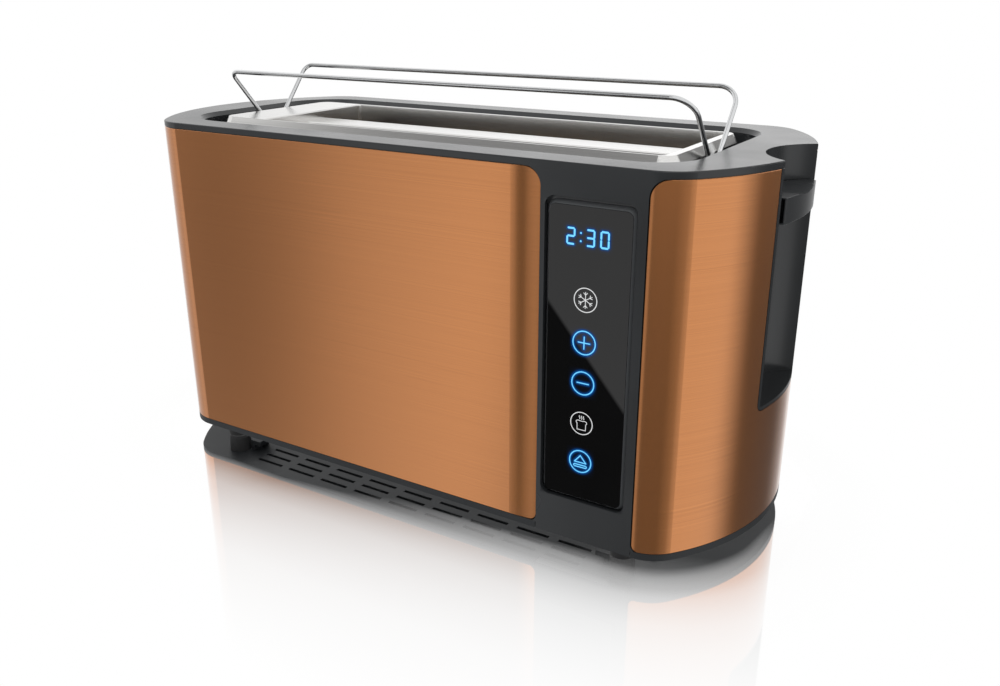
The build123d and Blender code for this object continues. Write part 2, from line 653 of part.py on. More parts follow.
def control_apron():
    """The front of the cover moulding, which comes down between the seams and carries the glass."""
    left = SEAM_LEFT + PANEL_GAP
    right = SEAM_RIGHT - PANEL_GAP
    apron = prism(plan(0), BASE_Z, COVER_Z) & box(left, right, -FAR, CONTROL_BACK, 0, FAR)
    flange = skin(SKIN_INSET, SKIN_INSET + FLANGE_WALL, WRAP_Z, COVER_Z)
    sides = box(SEAM_LEFT - FLANGE_REACH, left + SHEET, -FAR, 0, 0, FAR)
    sides += box(right - SHEET, SEAM_RIGHT + FLANGE_REACH, -FAR, 0, 0, FAR)
    apron += flange & sides
    apron += [
        corner_fill(SEAM_LEFT, COVER_Z, -1, -1, SEAM_TOP_RADIUS),
        corner_fill(SEAM_LEFT, WRAP_Z, -1, 1, SEAM_BOTTOM_RADIUS),
        corner_fill(SEAM_RIGHT, COVER_Z, 1, -1, SEAM_TOP_RADIUS),
        corner_fill(SEAM_RIGHT, WRAP_Z, 1, 1, SEAM_BOTTOM_RADIUS),
    ]
    glass_back = CONTROL_FACE - GLASS_PROUD + GLASS_THICKNESS
    pocket = glass_face(PANEL_GAP, GLASS_TOP_GAP)
    half_x = DISPLAY_WIDTH / 2 + WINDOW_GAP
    half_z = DISPLAY_HEIGHT / 2 + WINDOW_GAP
    cuts = [extrude(Plane.XZ.offset(-glass_back) * pocket, amount=FAR)]
    cuts.append(box(BUTTON_X - half_x, BUTTON_X + half_x, -FAR, 0, DISPLAY_Z - half_z, DISPLAY_Z + half_z))
    for z in button_places():
        cuts.append(stud(BUTTON_X, z, -FAR, 0, PAD_RADIUS + PAD_HOLE_GAP))
    apron -= cuts
    posts = []
    for x in (GLASS_LEFT + BOARD_POST_INSET, GLASS_RIGHT - BOARD_POST_INSET):
        for z in (GLASS_BOTTOM + BOARD_POST_INSET, GLASS_TOP - BOARD_POST_INSET):
            posts.append(stud(x, z, CONTROL_BACK, CONTROL_BACK + BOARD_STAND_OFF, BOARD_POST_RADIUS))
    return apron + posts


def top_cover():
    cover = prism(plan(0), COVER_Z, TOP_Z)
    cover = fillet(cover.edges().group_by(Axis.Z)[-1], COVER_ROUND)
    skirt = skin(SKIN_INSET, SKIN_INSET + SKIRT_WALL, COVER_Z - SKIRT_DEPTH, COVER_Z)
    half = recess_half() + RECESS_FLANGE
    skirt -= box(BODY_LENGTH / 4, FAR, -half, half, 0, FAR)
    skirt -= box(SEAM_LEFT, SEAM_RIGHT, -FAR, 0, 0, FAR)
    cover += skirt
    cover += prism(well(WELL_WALL), CHASSIS_TOP, COVER_Z)
    cover -= prism(well(0), WELL_Z, FAR)
    lap = PLATE_SHEET
    floor_hole = rectangle(
        PLATE_LEFT + lap, PLATE_RIGHT - lap, lap - PLATE_HALF_DEPTH, PLATE_HALF_DEPTH - lap, PLATE_CORNER
    )
    cover -= prism(floor_hole, 0, FAR)
    cover -= prism(recess(RECESS_RADIUS), 0, FAR)
    groove = skin(0, SHADOW_DEPTH, COVER_Z, COVER_Z + SHADOW_GAP)
    groove -= box(SEAM_LEFT - SEAM_TOP_RADIUS, SEAM_RIGHT + SEAM_TOP_RADIUS, -FAR, 0, 0, FAR)
    cover -= groove
    top = cover.edges().filter_by(lambda edge: abs(edge.center().Z - TOP_Z) < 0.01)
    inner = top.filter_by(lambda edge: in_well(edge.center()))
    cover = chamfer(inner, WELL_CHAMFER)
    return cover + control_apron() - control_recess()


def in_well(point):
    """Whether a point lies on the well's edge and not on the cover's outline."""
    across = abs(point.Y) < WELL_HALF_DEPTH + WELL_WALL
    return WELL_LEFT - WELL_WALL < point.X < WELL_RIGHT + WELL_WALL and across


# Slot plate
def plate_tub(inset, top, bottom):
    """A bevelled tub: the plate's outside, or with an inset its inside."""
    face = rectangle(
        PLATE_LEFT + inset,
        PLATE_RIGHT - inset,
        inset - PLATE_HALF_DEPTH,
        PLATE_HALF_DEPTH - inset,
        PLATE_CORNER - inset,
    )
    tub = prism(face, bottom, top)
    rim = tub.edges().group_by(Axis.Z)[-1]
    return chamfer(rim, PLATE_BEVEL_OUT, PLATE_BEVEL_DOWN, reference=tub.faces().sort_by(Axis.Z)[-1])


def slot_plate():
    sheet = PLATE_SHEET
    low = TOP_Z - SLOT_WALL_DEPTH
    opening = rectangle(SLOT_LEFT, SLOT_RIGHT, -SLOT_OUTER_Y, SLOT_OUTER_Y, 2 * sheet)
    collar = rectangle(
        SLOT_LEFT - sheet, SLOT_RIGHT + sheet, -SLOT_OUTER_Y - sheet, SLOT_OUTER_Y + sheet, 3 * sheet
    )
    plate = plate_tub(0, TOP_Z, WELL_Z) - prism(opening, 0, FAR)
    rim = plate.faces().sort_by(Axis.Z)[-1].inner_wires()[0].edges()
    plate = fillet(rim, SLOT_EDGE_ROUND)
    plate -= plate_tub(sheet, TOP_Z - sheet, WELL_Z) - prism(collar, low, FAR)
    flange = rectangle(
        PLATE_LEFT - PLATE_FLANGE,
        PLATE_RIGHT + PLATE_FLANGE,
        -PLATE_HALF_DEPTH - PLATE_FLANGE,
        PLATE_HALF_DEPTH + PLATE_FLANGE,
        PLATE_CORNER + PLATE_FLANGE,
    )
    hollow = rectangle(
        PLATE_LEFT + sheet,
        PLATE_RIGHT - sheet,
        sheet - PLATE_HALF_DEPTH,
        PLATE_HALF_DEPTH - sheet,
        PLATE_CORNER - sheet,
    )
    plate += prism(flange, WELL_Z, WELL_Z + sheet) - prism(hollow, WELL_Z, WELL_Z + sheet)
    bridge_top = TOP_Z - BRIDGE_DROP
    bridge = box(SLOT_LEFT, SLOT_RIGHT, -BRIDGE_HALF, BRIDGE_HALF, low, bridge_top)
    bridge = fillet(edges_at(bridge, Axis.X, z=bridge_top), BRIDGE_ROUND)
    inner = BRIDGE_HALF - sheet
    bridge -= box(SLOT_LEFT, SLOT_RIGHT, -inner, inner, low, bridge_top - sheet)
    return plate + bridge


# Touch panel
def button_places():
    return spread(BUTTON_LOW_Z, BUTTON_HIGH_Z, BUTTON_COUNT)


def glass_face(gap, top_gap):
    """The glass outline in the front plane, with room round it."""
    width = GLASS_RIGHT - GLASS_LEFT + 2 * gap
    height = GLASS_TOP - GLASS_BOTTOM + gap + top_gap
    centre = ((GLASS_LEFT + GLASS_RIGHT) / 2, GLASS_BOTTOM - gap + height / 2)
    return Pos(*centre) * RectangleRounded(width, height, GLASS_CORNER)


def touch_panel():
    front = CONTROL_FACE - GLASS_PROUD
    back = front + GLASS_THICKNESS
    glass = extrude(Plane.XZ.offset(-back) * glass_face(0, 0), amount=GLASS_THICKNESS)
    face = glass.faces().sort_by(Axis.Y)[0]
    return chamfer(face.edges(), GLASS_BEVEL, GLASS_BEVEL_DEPTH, reference=face)


def control_board():
    y = CONTROL_BACK + BOARD_STAND_OFF
    margin = BOARD_MARGIN
    return box(
        GLASS_LEFT + margin,
        GLASS_RIGHT - margin,
        y,
        y + BOARD_THICKNESS,
        GLASS_BOTTOM + margin,
        GLASS_TOP - margin,
    )


def behind_glass():
    """Front and back of what stands between the board and the glass."""
    front = CONTROL_FACE - GLASS_PROUD + GLASS_THICKNESS + SEAT_GAP
    return front, CONTROL_BACK + BOARD_STAND_OFF


def display_module():
    front, back = behind_glass()
    half_x = DISPLAY_WIDTH / 2
    half_z = DISPLAY_HEIGHT / 2
    return box(BUTTON_X - half_x, BUTTON_X + half_x, front, back, DISPLAY_Z - half_z, DISPLAY_Z + half_z)


def touch_pads():
    front, back = behind_glass()
    return Compound(children=[stud(BUTTON_X, z, front, back, PAD_RADIUS) for z in button_places()])


# Lever recess
def lever_channel():
    floor_z = RECESS_FLOOR - RECESS_WALL
    shell = prism(recess(RECESS_MOUTH), floor_z, COVER_Z) - prism(recess(RECESS_RADIUS), RECESS_FLOOR, FAR)
    channel = shell & prism(plan(0), 0, FAR) & recess_mouth(0)
    half = recess_half() + RECESS_FLANGE - SEAT_GAP
    flange = skin(SKIN_INSET, SKIN_INSET + FLANGE_WALL, floor_z - RECESS_FLANGE, COVER_Z - SEAT_GAP)
    flange &= box(BODY_LENGTH / 4, FAR, -half, half, 0, FAR)
    flange -= prism(recess(RECESS_RADIUS + RECESS_WALL / 2), RECESS_FLOOR - RECESS_WALL / 2, FAR)
    channel += flange
    low = LEVER_BOTTOM - LEVER_TRAVEL - LEVER_SLOT_SPARE
    high = LEVER_BOTTOM + LEVER_HEIGHT + LEVER_SLOT_SPARE
    slot = box(0, RECESS_CENTRE_X - RECESS_RADIUS / 2, -LEVER_SLOT_HALF, LEVER_SLOT_HALF, low, high)
    return channel - slot


def lever_handle():
    top = LEVER_BOTTOM + LEVER_HEIGHT
    handle = prism(recess(RECESS_RADIUS - LEVER_GAP), LEVER_BOTTOM, top)
    handle &= prism(plan(-LEVER_PROUD), LEVER_BOTTOM, top)
    handle &= box(0, FAR, -LEVER_HALF_WIDTH, LEVER_HALF_WIDTH, 0, FAR)
    handle = fillet(handle.edges().filter_by(Axis.Z), LEVER_ROUND)
    rim = handle.edges().group_by(Axis.Z)
    handle = fillet(rim[-1] + rim[0], LEVER_ROUND / 2)
    scoop_z = top + LEVER_SCOOP_RADIUS - LEVER_SCOOP_DEPTH
    handle -= bar(0, scoop_z, 0, FAR, LEVER_SCOOP_RADIUS)
    hollow = prism(recess(RECESS_RADIUS - LEVER_GAP - LEVER_SKIN), LEVER_BOTTOM + LEVER_SKIN, top - LEVER_SKIN)
    hollow &= prism(plan(LEVER_SKIN - LEVER_PROUD), 0, FAR)
    depth = LEVER_HALF_WIDTH - LEVER_POCKET
    handle -= hollow - box(0, FAR, -depth, depth, 0, FAR)
    low, high = arm_levels()
    gap = ARM_SOCKET_GAP
    half = ARM_THICKNESS / 2 + gap
    return handle - box(0, ARM_TIP_X + gap, -half, half, low - gap, high + gap)


def arm_levels():
    """Bottom and top of the lever arm inside the handle."""
    middle = LEVER_BOTTOM + (LEVER_HEIGHT - LEVER_SCOOP_DEPTH) / 2
    return middle - ARM_HEIGHT / 2, middle + ARM_HEIGHT / 2


def lever_arm():
    low, high = arm_levels()
    half = ARM_THICKNESS / 2
    start = CARRIAGE_X + RACK_SHEET
    leg_end = ARM_LEG_X + ARM_WIDTH
    arm = box(start, leg_end, -half, half, CARRIAGE_BOTTOM, CARRIAGE_BOTTOM + ARM_HEIGHT)
    arm += box(ARM_LEG_X, leg_end, -half, half, CARRIAGE_BOTTOM, high)
    return arm + box(ARM_LEG_X, ARM_TIP_X, -half, half, low, high)


# Chassis
def chassis_plate(x0, foot_side):
    """An end plate with rack slots, guard pivots and screwed feet."""
    x1 = x0 + CHASSIS_SHEET
    half = CHASSIS_HALF_DEPTH
    plate = box(x0, x1, -half, half, FLOOR_Z, CHASSIS_TOP)
    edge = x1 if foot_side > 0 else x0
    reach = edge + foot_side * CHASSIS_FOOT_REACH
    tab_top = FLOOR_Z + CHASSIS_SHEET
    tabs = []
    for y in (-CHASSIS_FOOT_Y, CHASSIS_FOOT_Y):
        y0 = y - CHASSIS_FOOT_WIDTH / 2
        y1 = y + CHASSIS_FOOT_WIDTH / 2
        tabs.append(box(min(edge, reach), max(edge, reach), y0, y1, FLOOR_Z, tab_top))
    plate += tabs
    cuts = []
    low = RACK_TOP - RACK_WEB - LEVER_TRAVEL - RACK_SLOT_SPARE
    for y in (-RACK_Y, RACK_Y):
        cuts.append(box(x0, x1, y - RACK_SLOT_HALF, y + RACK_SLOT_HALF, low, RACK_TOP + RACK_SLOT_SPARE))
    for y in guard_rows():
        cuts.append(bar(y, GUARD_PIVOT_Z, x0, x1, GUARD_PIVOT_RADIUS + GUARD_PIVOT_GAP))
    for x, y in rack_screw_places():
        cuts.append(post(x, y, 0, TOP_Z, SCREW_RADIUS + SCREW_HOLE_GAP))
    return plate - cuts


def heat_shield(side):
    inner = side * CHASSIS_HALF_DEPTH
    outer = side * (CHASSIS_HALF_DEPTH + SHIELD_SHEET)
    left = CHAMBER_LEFT - CHASSIS_SHEET
    right = CHAMBER_RIGHT + CHASSIS_SHEET
    return box(left, right, min(inner, outer), max(inner, outer), SHIELD_BOTTOM, CHASSIS_TOP)


# Heaters
def heater_rows():
    """Middle of each heater board, with the side that faces the bread."""
    inner = HEATER_INNER_Y
    outer = HEATER_OUTER_Y
    return {
        "front_outer_heater": (-outer, 1),
        "front_inner_heater": (-inner, -1),
        "rear_inner_heater": (inner, 1),
        "rear_outer_heater": (outer, -1),
    }


def heater_board(y):
    half = HEATER_SHEET / 2
    left = CHAMBER_LEFT + HEATER_END_GAP
    right = CHAMBER_RIGHT - HEATER_END_GAP
    return box(left, right, y - half, y + half, HEATER_BOTTOM, HEATER_TOP)


def heater_ribbons():
    left = CHAMBER_LEFT + RIBBON_MARGIN
    right = CHAMBER_RIGHT - RIBBON_MARGIN
    ribbons = []
    for y, side in heater_rows().values():
        face = y + side * HEATER_SHEET / 2
        out = face + side * RIBBON_THICKNESS
        for z in spread(HEATER_BOTTOM + RIBBON_MARGIN, HEATER_TOP - RIBBON_MARGIN, RIBBON_COUNT):
            half = RIBBON_HEIGHT / 2
            ribbons.append(box(left, right, min(face, out), max(face, out), z - half, z + half))
    return Compound(children=ribbons)


# Bread guards
def guard_rows():
    return (-GUARD_OUTER_Y, -GUARD_INNER_Y, GUARD_INNER_Y, GUARD_OUTER_Y)


def bread_guard(y):
    left = CHAMBER_LEFT - CHASSIS_SHEET - GUARD_PIVOT_SPARE
    right = CHAMBER_RIGHT + CHASSIS_SHEET + GUARD_PIVOT_SPARE
    grille_left = CHAMBER_LEFT + GUARD_END
    grille_right = CHAMBER_RIGHT - GUARD_END
    guard = bar(y, GUARD_PIVOT_Z, left, right, GUARD_PIVOT_RADIUS)
    wires = [bar(y, GUARD_TOP, grille_left, grille_right, GUARD_WIRE_RADIUS)]
    inset = 2 * GUARD_WIRE_RADIUS
    for x in spread(grille_left + inset, grille_right - inset, GUARD_WIRE_COUNT):
        wires.append(post(x, y, GUARD_PIVOT_Z, GUARD_TOP, GUARD_WIRE_RADIUS))
    return guard + wires


# Carriage
def bread_rack(y):
    half = RACK_SHEET / 2
    left = CHAMBER_LEFT - CHASSIS_SHEET - RACK_LEFT_SPARE
    rack = box(left, CARRIAGE_X, y - half, y + half, RACK_TOP - RACK_WEB, RACK_TOP)
    prongs = []
    for x in spread(SLOT_LEFT + RACK_PRONG_END, SLOT_RIGHT - RACK_PRONG_END, RACK_PRONG_COUNT):
        wide = RACK_PRONG_WIDTH / 2
        reach = RACK_PRONG_HALF
        prongs.append(box(x - wide, x + wide, y - reach, y + reach, RACK_TOP, RACK_TOP + RACK_SHEET))
    return rack + prongs


def carriage():
    x0 = CARRIAGE_X
    x1 = x0 + RACK_SHEET
    top = CARRIAGE_BOTTOM + CARRIAGE_HEIGHT
    body = box(x0, x1, -CARRIAGE_HALF, CARRIAGE_HALF, CARRIAGE_BOTTOM, top)
    rib = RACK_SHEET
    body += [
        post(ROD_X, ROD_Y, BUSH_BOTTOM, BUSH_BOTTOM + BUSH_HEIGHT, BUSH_RADIUS),
        box(x0, ROD_X, ROD_Y - rib, ROD_Y + rib, CARRIAGE_BOTTOM, top),
        box(x0, x1 + SHELF_REACH, MAGNET_Y - SHELF_FRONT_EDGE, SHELF_BACK_Y, SHELF_Z, SHELF_Z + RACK_SHEET),
    ]
    return body - post(ROD_X, ROD_Y, 0, FAR, ROD_RADIUS + ROD_GAP)


def armature():
    half_x = MAGNET_LENGTH / 2
    half_y = MAGNET_WIDTH / 2
    return box(
        ROD_X - half_x,
        ROD_X + half_x,
        MAGNET_Y - half_y,
        MAGNET_Y + half_y,
        SHELF_Z - ARMATURE_THICKNESS,
        SHELF_Z,
    )


def guide_rod():
    return post(ROD_X, ROD_Y, FLOOR_Z + ROD_SEAT, ROD_TOP, ROD_RADIUS)


def rod_bracket():
    x0 = CHAMBER_RIGHT + CHASSIS_SHEET
    top = BRACKET_Z + BRACKET_SHEET
    bracket = box(x0, x0 + BRACKET_REACH, BRACKET_FRONT, BRACKET_BACK, BRACKET_Z, top)
    bracket += box(x0, x0 + BRACKET_SHEET, BRACKET_FRONT, BRACKET_BACK, top - BRACKET_LEG, top)
    return bracket - post(ROD_X, ROD_Y, 0, FAR, ROD_RADIUS + ROD_GAP)


def coil_path(x, y, z0, z1, radius, turns):
    """A helix as tangent pairs of arcs, one pair for each quarter turn."""
    steps = 4 * turns
    rise = (z1 - z0) / steps

    def place(i):
        angle = pi / 2 * i
        return Vector(x + radius * cos(angle), y + radius * sin(angle), z0 + rise * i)

    def heading(i):
        angle = pi / 2 * i
        return Vector(-radius * sin(angle), radius * cos(angle), rise * 2 / pi).normalized()

    edges = []
    for i in range(steps):
        start, end = place(i), place(i + 1)
        out, back = heading(i), heading(i + 1)
        chord = end - start
        a = 2 * (1 - out.dot(back))
        b = 2 * chord.dot(out + back)
        reach = (sqrt(b * b + 4 * a * chord.dot(chord)) - b) / (2 * a)
        near = start + out * reach
        far = end - back * reach
        meet = (near + far) * 0.5
        edges.append(Edge.make_tangent_arc(start, out, meet))
        edges.append(Edge.make_tangent_arc(meet, far - near, end))
    return Wire(edges)


def least_gap(path, turns):
    """Least distance between points of a coil that are half a turn or more apart."""
    steps = 24
    points = [path.position_at(i / (steps * turns)) for i in range(steps * turns + 1)]
    pairs = [(a, b) for i, a in enumerate(points) for b in points[i + steps // 2 :]]
    return min((a - b).length for a, b in pairs)


def lift_spring():
    low = SHELF_Z + RACK_SHEET + SPRING_WIRE + SEAT_GAP
    high = BRACKET_Z - SPRING_WIRE - SEAT_GAP
    path = coil_path(SPRING_X, SPRING_Y, low, high, SPRING_RADIUS, SPRING_TURN_COUNT)
    gap = least_gap(path, SPRING_TURN_COUNT) - 2 * SPRING_WIRE
    print("lift spring least gap between turns", round(gap, 2))
    start = Plane(origin=path.position_at(0), z_dir=path.tangent_at(0))
    return sweep(start * Circle(SPRING_WIRE), path=path)


def magnet_top():
    """Where the lowered armature comes to rest."""
    return SHELF_Z - ARMATURE_THICKNESS - LEVER_TRAVEL - ARMATURE_GAP


def magnet_core():
    x0 = ROD_X - MAGNET_LENGTH / 2
    x1 = ROD_X + MAGNET_LENGTH / 2
    y0 = MAGNET_Y - MAGNET_WIDTH / 2
    y1 = MAGNET_Y + MAGNET_WIDTH / 2
    top = magnet_top()
    core = box(x0, x1, y0, y1, FLOOR_Z, FLOOR_Z + MAGNET_YOKE)
    half = MAGNET_CORE / 2
    return core + [
        box(x0, x1, y0, y0 + MAGNET_LEG, FLOOR_Z, top),
        box(x0, x1, y1 - MAGNET_LEG, y1, FLOOR_Z, top),
        box(x0 + half, x1 - half, MAGNET_Y - half, MAGNET_Y + half, FLOOR_Z, top),
    ]


def magnet_coil():
    half = MAGNET_CORE / 2 + COIL_GAP
    long_half = MAGNET_LENGTH / 2 - MAGNET_CORE / 2 + COIL_GAP
    low = FLOOR_Z + MAGNET_YOKE + COIL_GAP
    top = magnet_top() - COIL_WALL
    coil = box(
        ROD_X - long_half - COIL_WALL,
        ROD_X + long_half + COIL_WALL,
        MAGNET_Y - half - COIL_WALL,
        MAGNET_Y + half + COIL_WALL,
        low,
        top,
    )
    return coil - box(ROD_X - long_half, ROD_X + long_half, MAGNET_Y - half, MAGNET_Y + half, low, top)


# Power electronics
def power_board():
    half = POWER_LENGTH / 2
    low = FLOOR_Z + SEAT_GAP
    return box(POWER_X - half, POWER_X + half, POWER_Y, POWER_Y + BOARD_THICKNESS, low, low + POWER_HEIGHT)


def power_components():
    """A relay, a transformer and a capacitor standing on the back of the power board."""
    face = POWER_Y + BOARD_THICKNESS
    quarter = POWER_LENGTH / 4
    low = FLOOR_Z + POWER_HEIGHT / 8
    high = FLOOR_Z + POWER_HEIGHT / 2
    relay = box(POWER_X - quarter, POWER_X + quarter, face, face + quarter, high, high + 2 * quarter)
    transformer = box(POWER_X - 1.5 * quarter, POWER_X, face, face + 1.5 * quarter, low, low + 2 * quarter)
    capacitor = stud(POWER_X + quarter, low + quarter, face, face + 1.2 * quarter, quarter / 2)
    return Compound(children=[relay, transformer, capacitor])


# Folding warming rack
def bail(side):
    """A wire bow: pivot pins at its feet, two leaning legs and a rail."""
    lean = radians(BAIL_LEAN)
    pivot = (side * BAIL_PIVOT_Y, BAIL_PIVOT_Z)
    rail = (side * (BAIL_PIVOT_Y + BAIL_REACH * sin(lean)), BAIL_PIVOT_Z + BAIL_REACH * cos(lean))
    path = FilletPolyline(
        (BAIL_RIGHT + BAIL_PIN, *pivot),
        (BAIL_RIGHT, *pivot),
        (BAIL_RIGHT, *rail),
        (BAIL_LEFT, *rail),
        (BAIL_LEFT, *pivot),
        (BAIL_LEFT - BAIL_PIN, *pivot),
        radius=[BAIL_FOOT_BEND, BAIL_RIGHT_BEND, BAIL_LEFT_BEND, BAIL_FOOT_BEND],
    )
    start = Plane(origin=path @ 0, z_dir=path % 0)
    return sweep(start * Circle(BAIL_WIRE), path=path)


def bail_bracket(x, side):
    """An ear on the well's floor that holds both pivot pins at one end."""
    near = x + side * (BAIL_WIRE + BAIL_EAR_GAP)
    far = near + side * BAIL_EAR
    half = BAIL_EAR_HALF
    ear = box(min(near, far), max(near, far), -half, half, WELL_Z, BAIL_PIVOT_Z + BAIL_EAR_RISE)
    top = edges_at(ear, Axis.X, z=BAIL_PIVOT_Z + BAIL_EAR_RISE)
    ear = fillet(top, BAIL_EAR_RISE)
    pins = []
    for y in (-BAIL_PIVOT_Y, BAIL_PIVOT_Y):
        pins.append(bar(y, BAIL_PIVOT_Z, min(near, far), max(near, far), BAIL_WIRE + BAIL_PIN_GAP))
    return ear - pins


# Crumb tray
def tray_sides():
    return CHAMBER_LEFT + TRAY_SIDE_GAP, CHAMBER_RIGHT - TRAY_SIDE_GAP


def tray_bottom():
    return FLOOR_Z + TRAY_LIFT + TRAY_RUN_GAP


def crumb_tray():
    left, right = tray_sides()
    low = tray_bottom()
    top = low + TRAY_HEIGHT
    sheet = TRAY_SHEET
    tray = box(left, right, TRAY_FRONT, TRAY_BACK, low, top)
    return tray - box(left + sheet, right - sheet, TRAY_FRONT + sheet, TRAY_BACK - sheet, low + sheet, FAR)


def tray_handle():
    left, right = tray_mouth()
    gap = TRAY_MOUTH_GAP
    low = WRAP_Z + gap
    high = WRAP_Z + TRAY_MOUTH_HEIGHT - gap
    strip = box(left + gap, right - gap, TRAY_BACK, BACK_Y, low, high)
    half = PULL_WIDTH / 2
    middle = (left + right) / 2
    return strip - box(middle - half, middle + half, BACK_Y - PULL_DEPTH, BACK_Y, low, low + PULL_DEPTH)


left_plate_x = CHAMBER_LEFT - CHASSIS_SHEET
nodes = {
    "base_plate": base_plate(),
    "feet": feet(),
    "base_screws": base_screws(),
    "cord_gland": cord_gland(),
    "left_wrap": left_wrap(),
    "right_wrap": right_wrap(),
    "top_cover": top_cover(),
    "slot_plate": slot_plate(),
    "touch_panel": touch_panel(),
    "control_board": control_board(),
    "display_module": display_module(),
    "touch_pads": touch_pads(),
    "lever_channel": lever_channel(),
    "lever_handle": lever_handle(),
    "lever_arm": lever_arm(),
    "left_chassis": chassis_plate(left_plate_x, -1),
    "right_chassis": chassis_plate(CHAMBER_RIGHT, 1),
    "front_heat_shield": heat_shield(-1),
    "rear_heat_shield": heat_shield(1),
    "heater_ribbons": heater_ribbons(),
    "front_bread_rack": bread_rack(-RACK_Y),
    "rear_bread_rack": bread_rack(RACK_Y),
    "carriage": carriage(),
    "armature": armature(),
    "guide_rod": guide_rod(),
    "rod_bracket": rod_bracket(),
    "lift_spring": lift_spring(),
    "magnet_core": magnet_core(),
    "magnet_coil": magnet_coil(),
    "power_board": power_board(),
    "power_components": power_components(),
    "front_bail": bail(-1),
    "rear_bail": bail(1),
    "left_bail_bracket": bail_bracket(BAIL_LEFT, -1),
    "right_bail_bracket": bail_bracket(BAIL_RIGHT, 1),
    "crumb_tray": crumb_tray(),
    "tray_handle": tray_handle(),
}
for name, (y, _) in heater_rows().items():
    nodes[name] = heater_board(y)
guard_names = ("front_outer_guard", "front_inner_guard", "rear_inner_guard", "rear_outer_guard")
for name, y in zip(guard_names, guard_rows()):
    nodes[name] = bread_guard(y)

os.makedirs("parts", exist_ok=True)
for name, shape in nodes.items():
    export_step(shape, f"parts/{name}.step")
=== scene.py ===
"""Dresses a long-slot pop up toaster: finishes, lit signs on its glass, and a studio."""

from math import pi, radians

import bpy
import numpy as np
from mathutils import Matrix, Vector


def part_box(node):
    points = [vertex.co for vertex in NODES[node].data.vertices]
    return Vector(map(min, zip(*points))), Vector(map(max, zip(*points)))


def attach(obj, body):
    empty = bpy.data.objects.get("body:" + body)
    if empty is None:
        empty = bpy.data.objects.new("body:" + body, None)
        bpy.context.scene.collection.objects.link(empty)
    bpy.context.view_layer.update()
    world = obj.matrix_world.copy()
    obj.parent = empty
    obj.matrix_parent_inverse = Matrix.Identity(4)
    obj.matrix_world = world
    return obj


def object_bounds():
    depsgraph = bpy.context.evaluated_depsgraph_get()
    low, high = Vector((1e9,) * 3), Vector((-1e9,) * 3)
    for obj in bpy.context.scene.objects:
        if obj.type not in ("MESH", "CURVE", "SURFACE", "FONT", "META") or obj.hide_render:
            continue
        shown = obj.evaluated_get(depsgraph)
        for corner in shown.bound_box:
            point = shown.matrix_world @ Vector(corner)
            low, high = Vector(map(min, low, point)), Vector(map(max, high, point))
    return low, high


bl_info = {
    "name": "Pop up toaster",
    "version": (1, 0, 0),
    "blender": (4, 5, 0),
    "location": "View3D > Sidebar > Toaster",
    "description": "Finishes, glass symbols and studio for a long-slot toaster",
    "category": "Object",
}

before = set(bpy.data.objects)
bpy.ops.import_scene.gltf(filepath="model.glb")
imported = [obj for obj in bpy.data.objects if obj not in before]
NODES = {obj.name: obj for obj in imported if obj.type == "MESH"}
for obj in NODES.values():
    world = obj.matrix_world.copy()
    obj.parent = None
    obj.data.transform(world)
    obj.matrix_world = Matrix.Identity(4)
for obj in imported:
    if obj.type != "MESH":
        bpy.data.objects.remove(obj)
CAD_BOX = [list(map(float, corner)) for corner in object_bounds()]
MM = 0.001
GLASS_LOW, GLASS_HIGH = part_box("touch_panel")
GLASS_FRONT = GLASS_LOW[1]


# Settings
def linear(red, green, blue):
    """Linear light of a colour that is given as seen on a screen, 0 to 255."""
    shown = np.array([red, green, blue]) / 255
    light = np.where(shown <= 0.04045, shown / 12.92, ((shown + 0.055) / 1.055) ** 2.4)
    return tuple(float(value) for value in light)


def colour_property(name, description, red, green, blue):
    """A colour that the user can change."""
    return bpy.props.FloatVectorProperty(
        name=name,
        description=description,
        default=linear(red, green, blue),
        subtype="COLOR",
        size=3,
        min=0,
        max=1,
    )


def number_property(name, description, default, **limits):
    """A number that the user can change."""
    return bpy.props.FloatProperty(name=name, description=description, default=default, **limits)


def factor_property(name, description, default):
    """A share between 0 and 1 that the user can change."""
    return number_property(name, description, default, min=0, max=1, subtype="FACTOR")


def length_property(name, description, default):
    """A length in metres that the user can change."""
    return number_property(name, description, default, unit="LENGTH", precision=5)


def angle_property(name, description, degrees):
    """An angle that the user can change."""
    return number_property(name, description, radians(degrees), subtype="ANGLE")


class ToasterFinish(bpy.types.PropertyGroup):
    """Colours and gloss of the metal and the mouldings."""

    copper_light: colour_property("Copper light", "Lightest tone of the steel", 215, 143, 86)
    copper_dark: colour_property("Copper dark", "Tone between the brush marks", 194, 124, 70)
    copper_roughness: factor_property("Copper roughness", "Blur of what the steel mirrors", 0.2)
    brush_depth: factor_property("Brush depth", "Depth of the brush marks", 0.02)
    moulding: colour_property("Moulding", "Satin plastic of the cover and the lever", 37, 39, 41)
    base: colour_property("Base", "Plastic of the base", 42, 44, 46)
    rubber: colour_property("Rubber", "Feet and cord gland", 34, 34, 35)
    bright_steel: colour_property("Bright steel", "Slot plate", 230, 229, 227)
    wire: colour_property("Wire", "Warming rack", 226, 227, 228)
    sheet_steel: colour_property("Sheet steel", "Plates inside", 176, 174, 170)
    mica: colour_property("Mica", "Heater boards", 196, 176, 142)


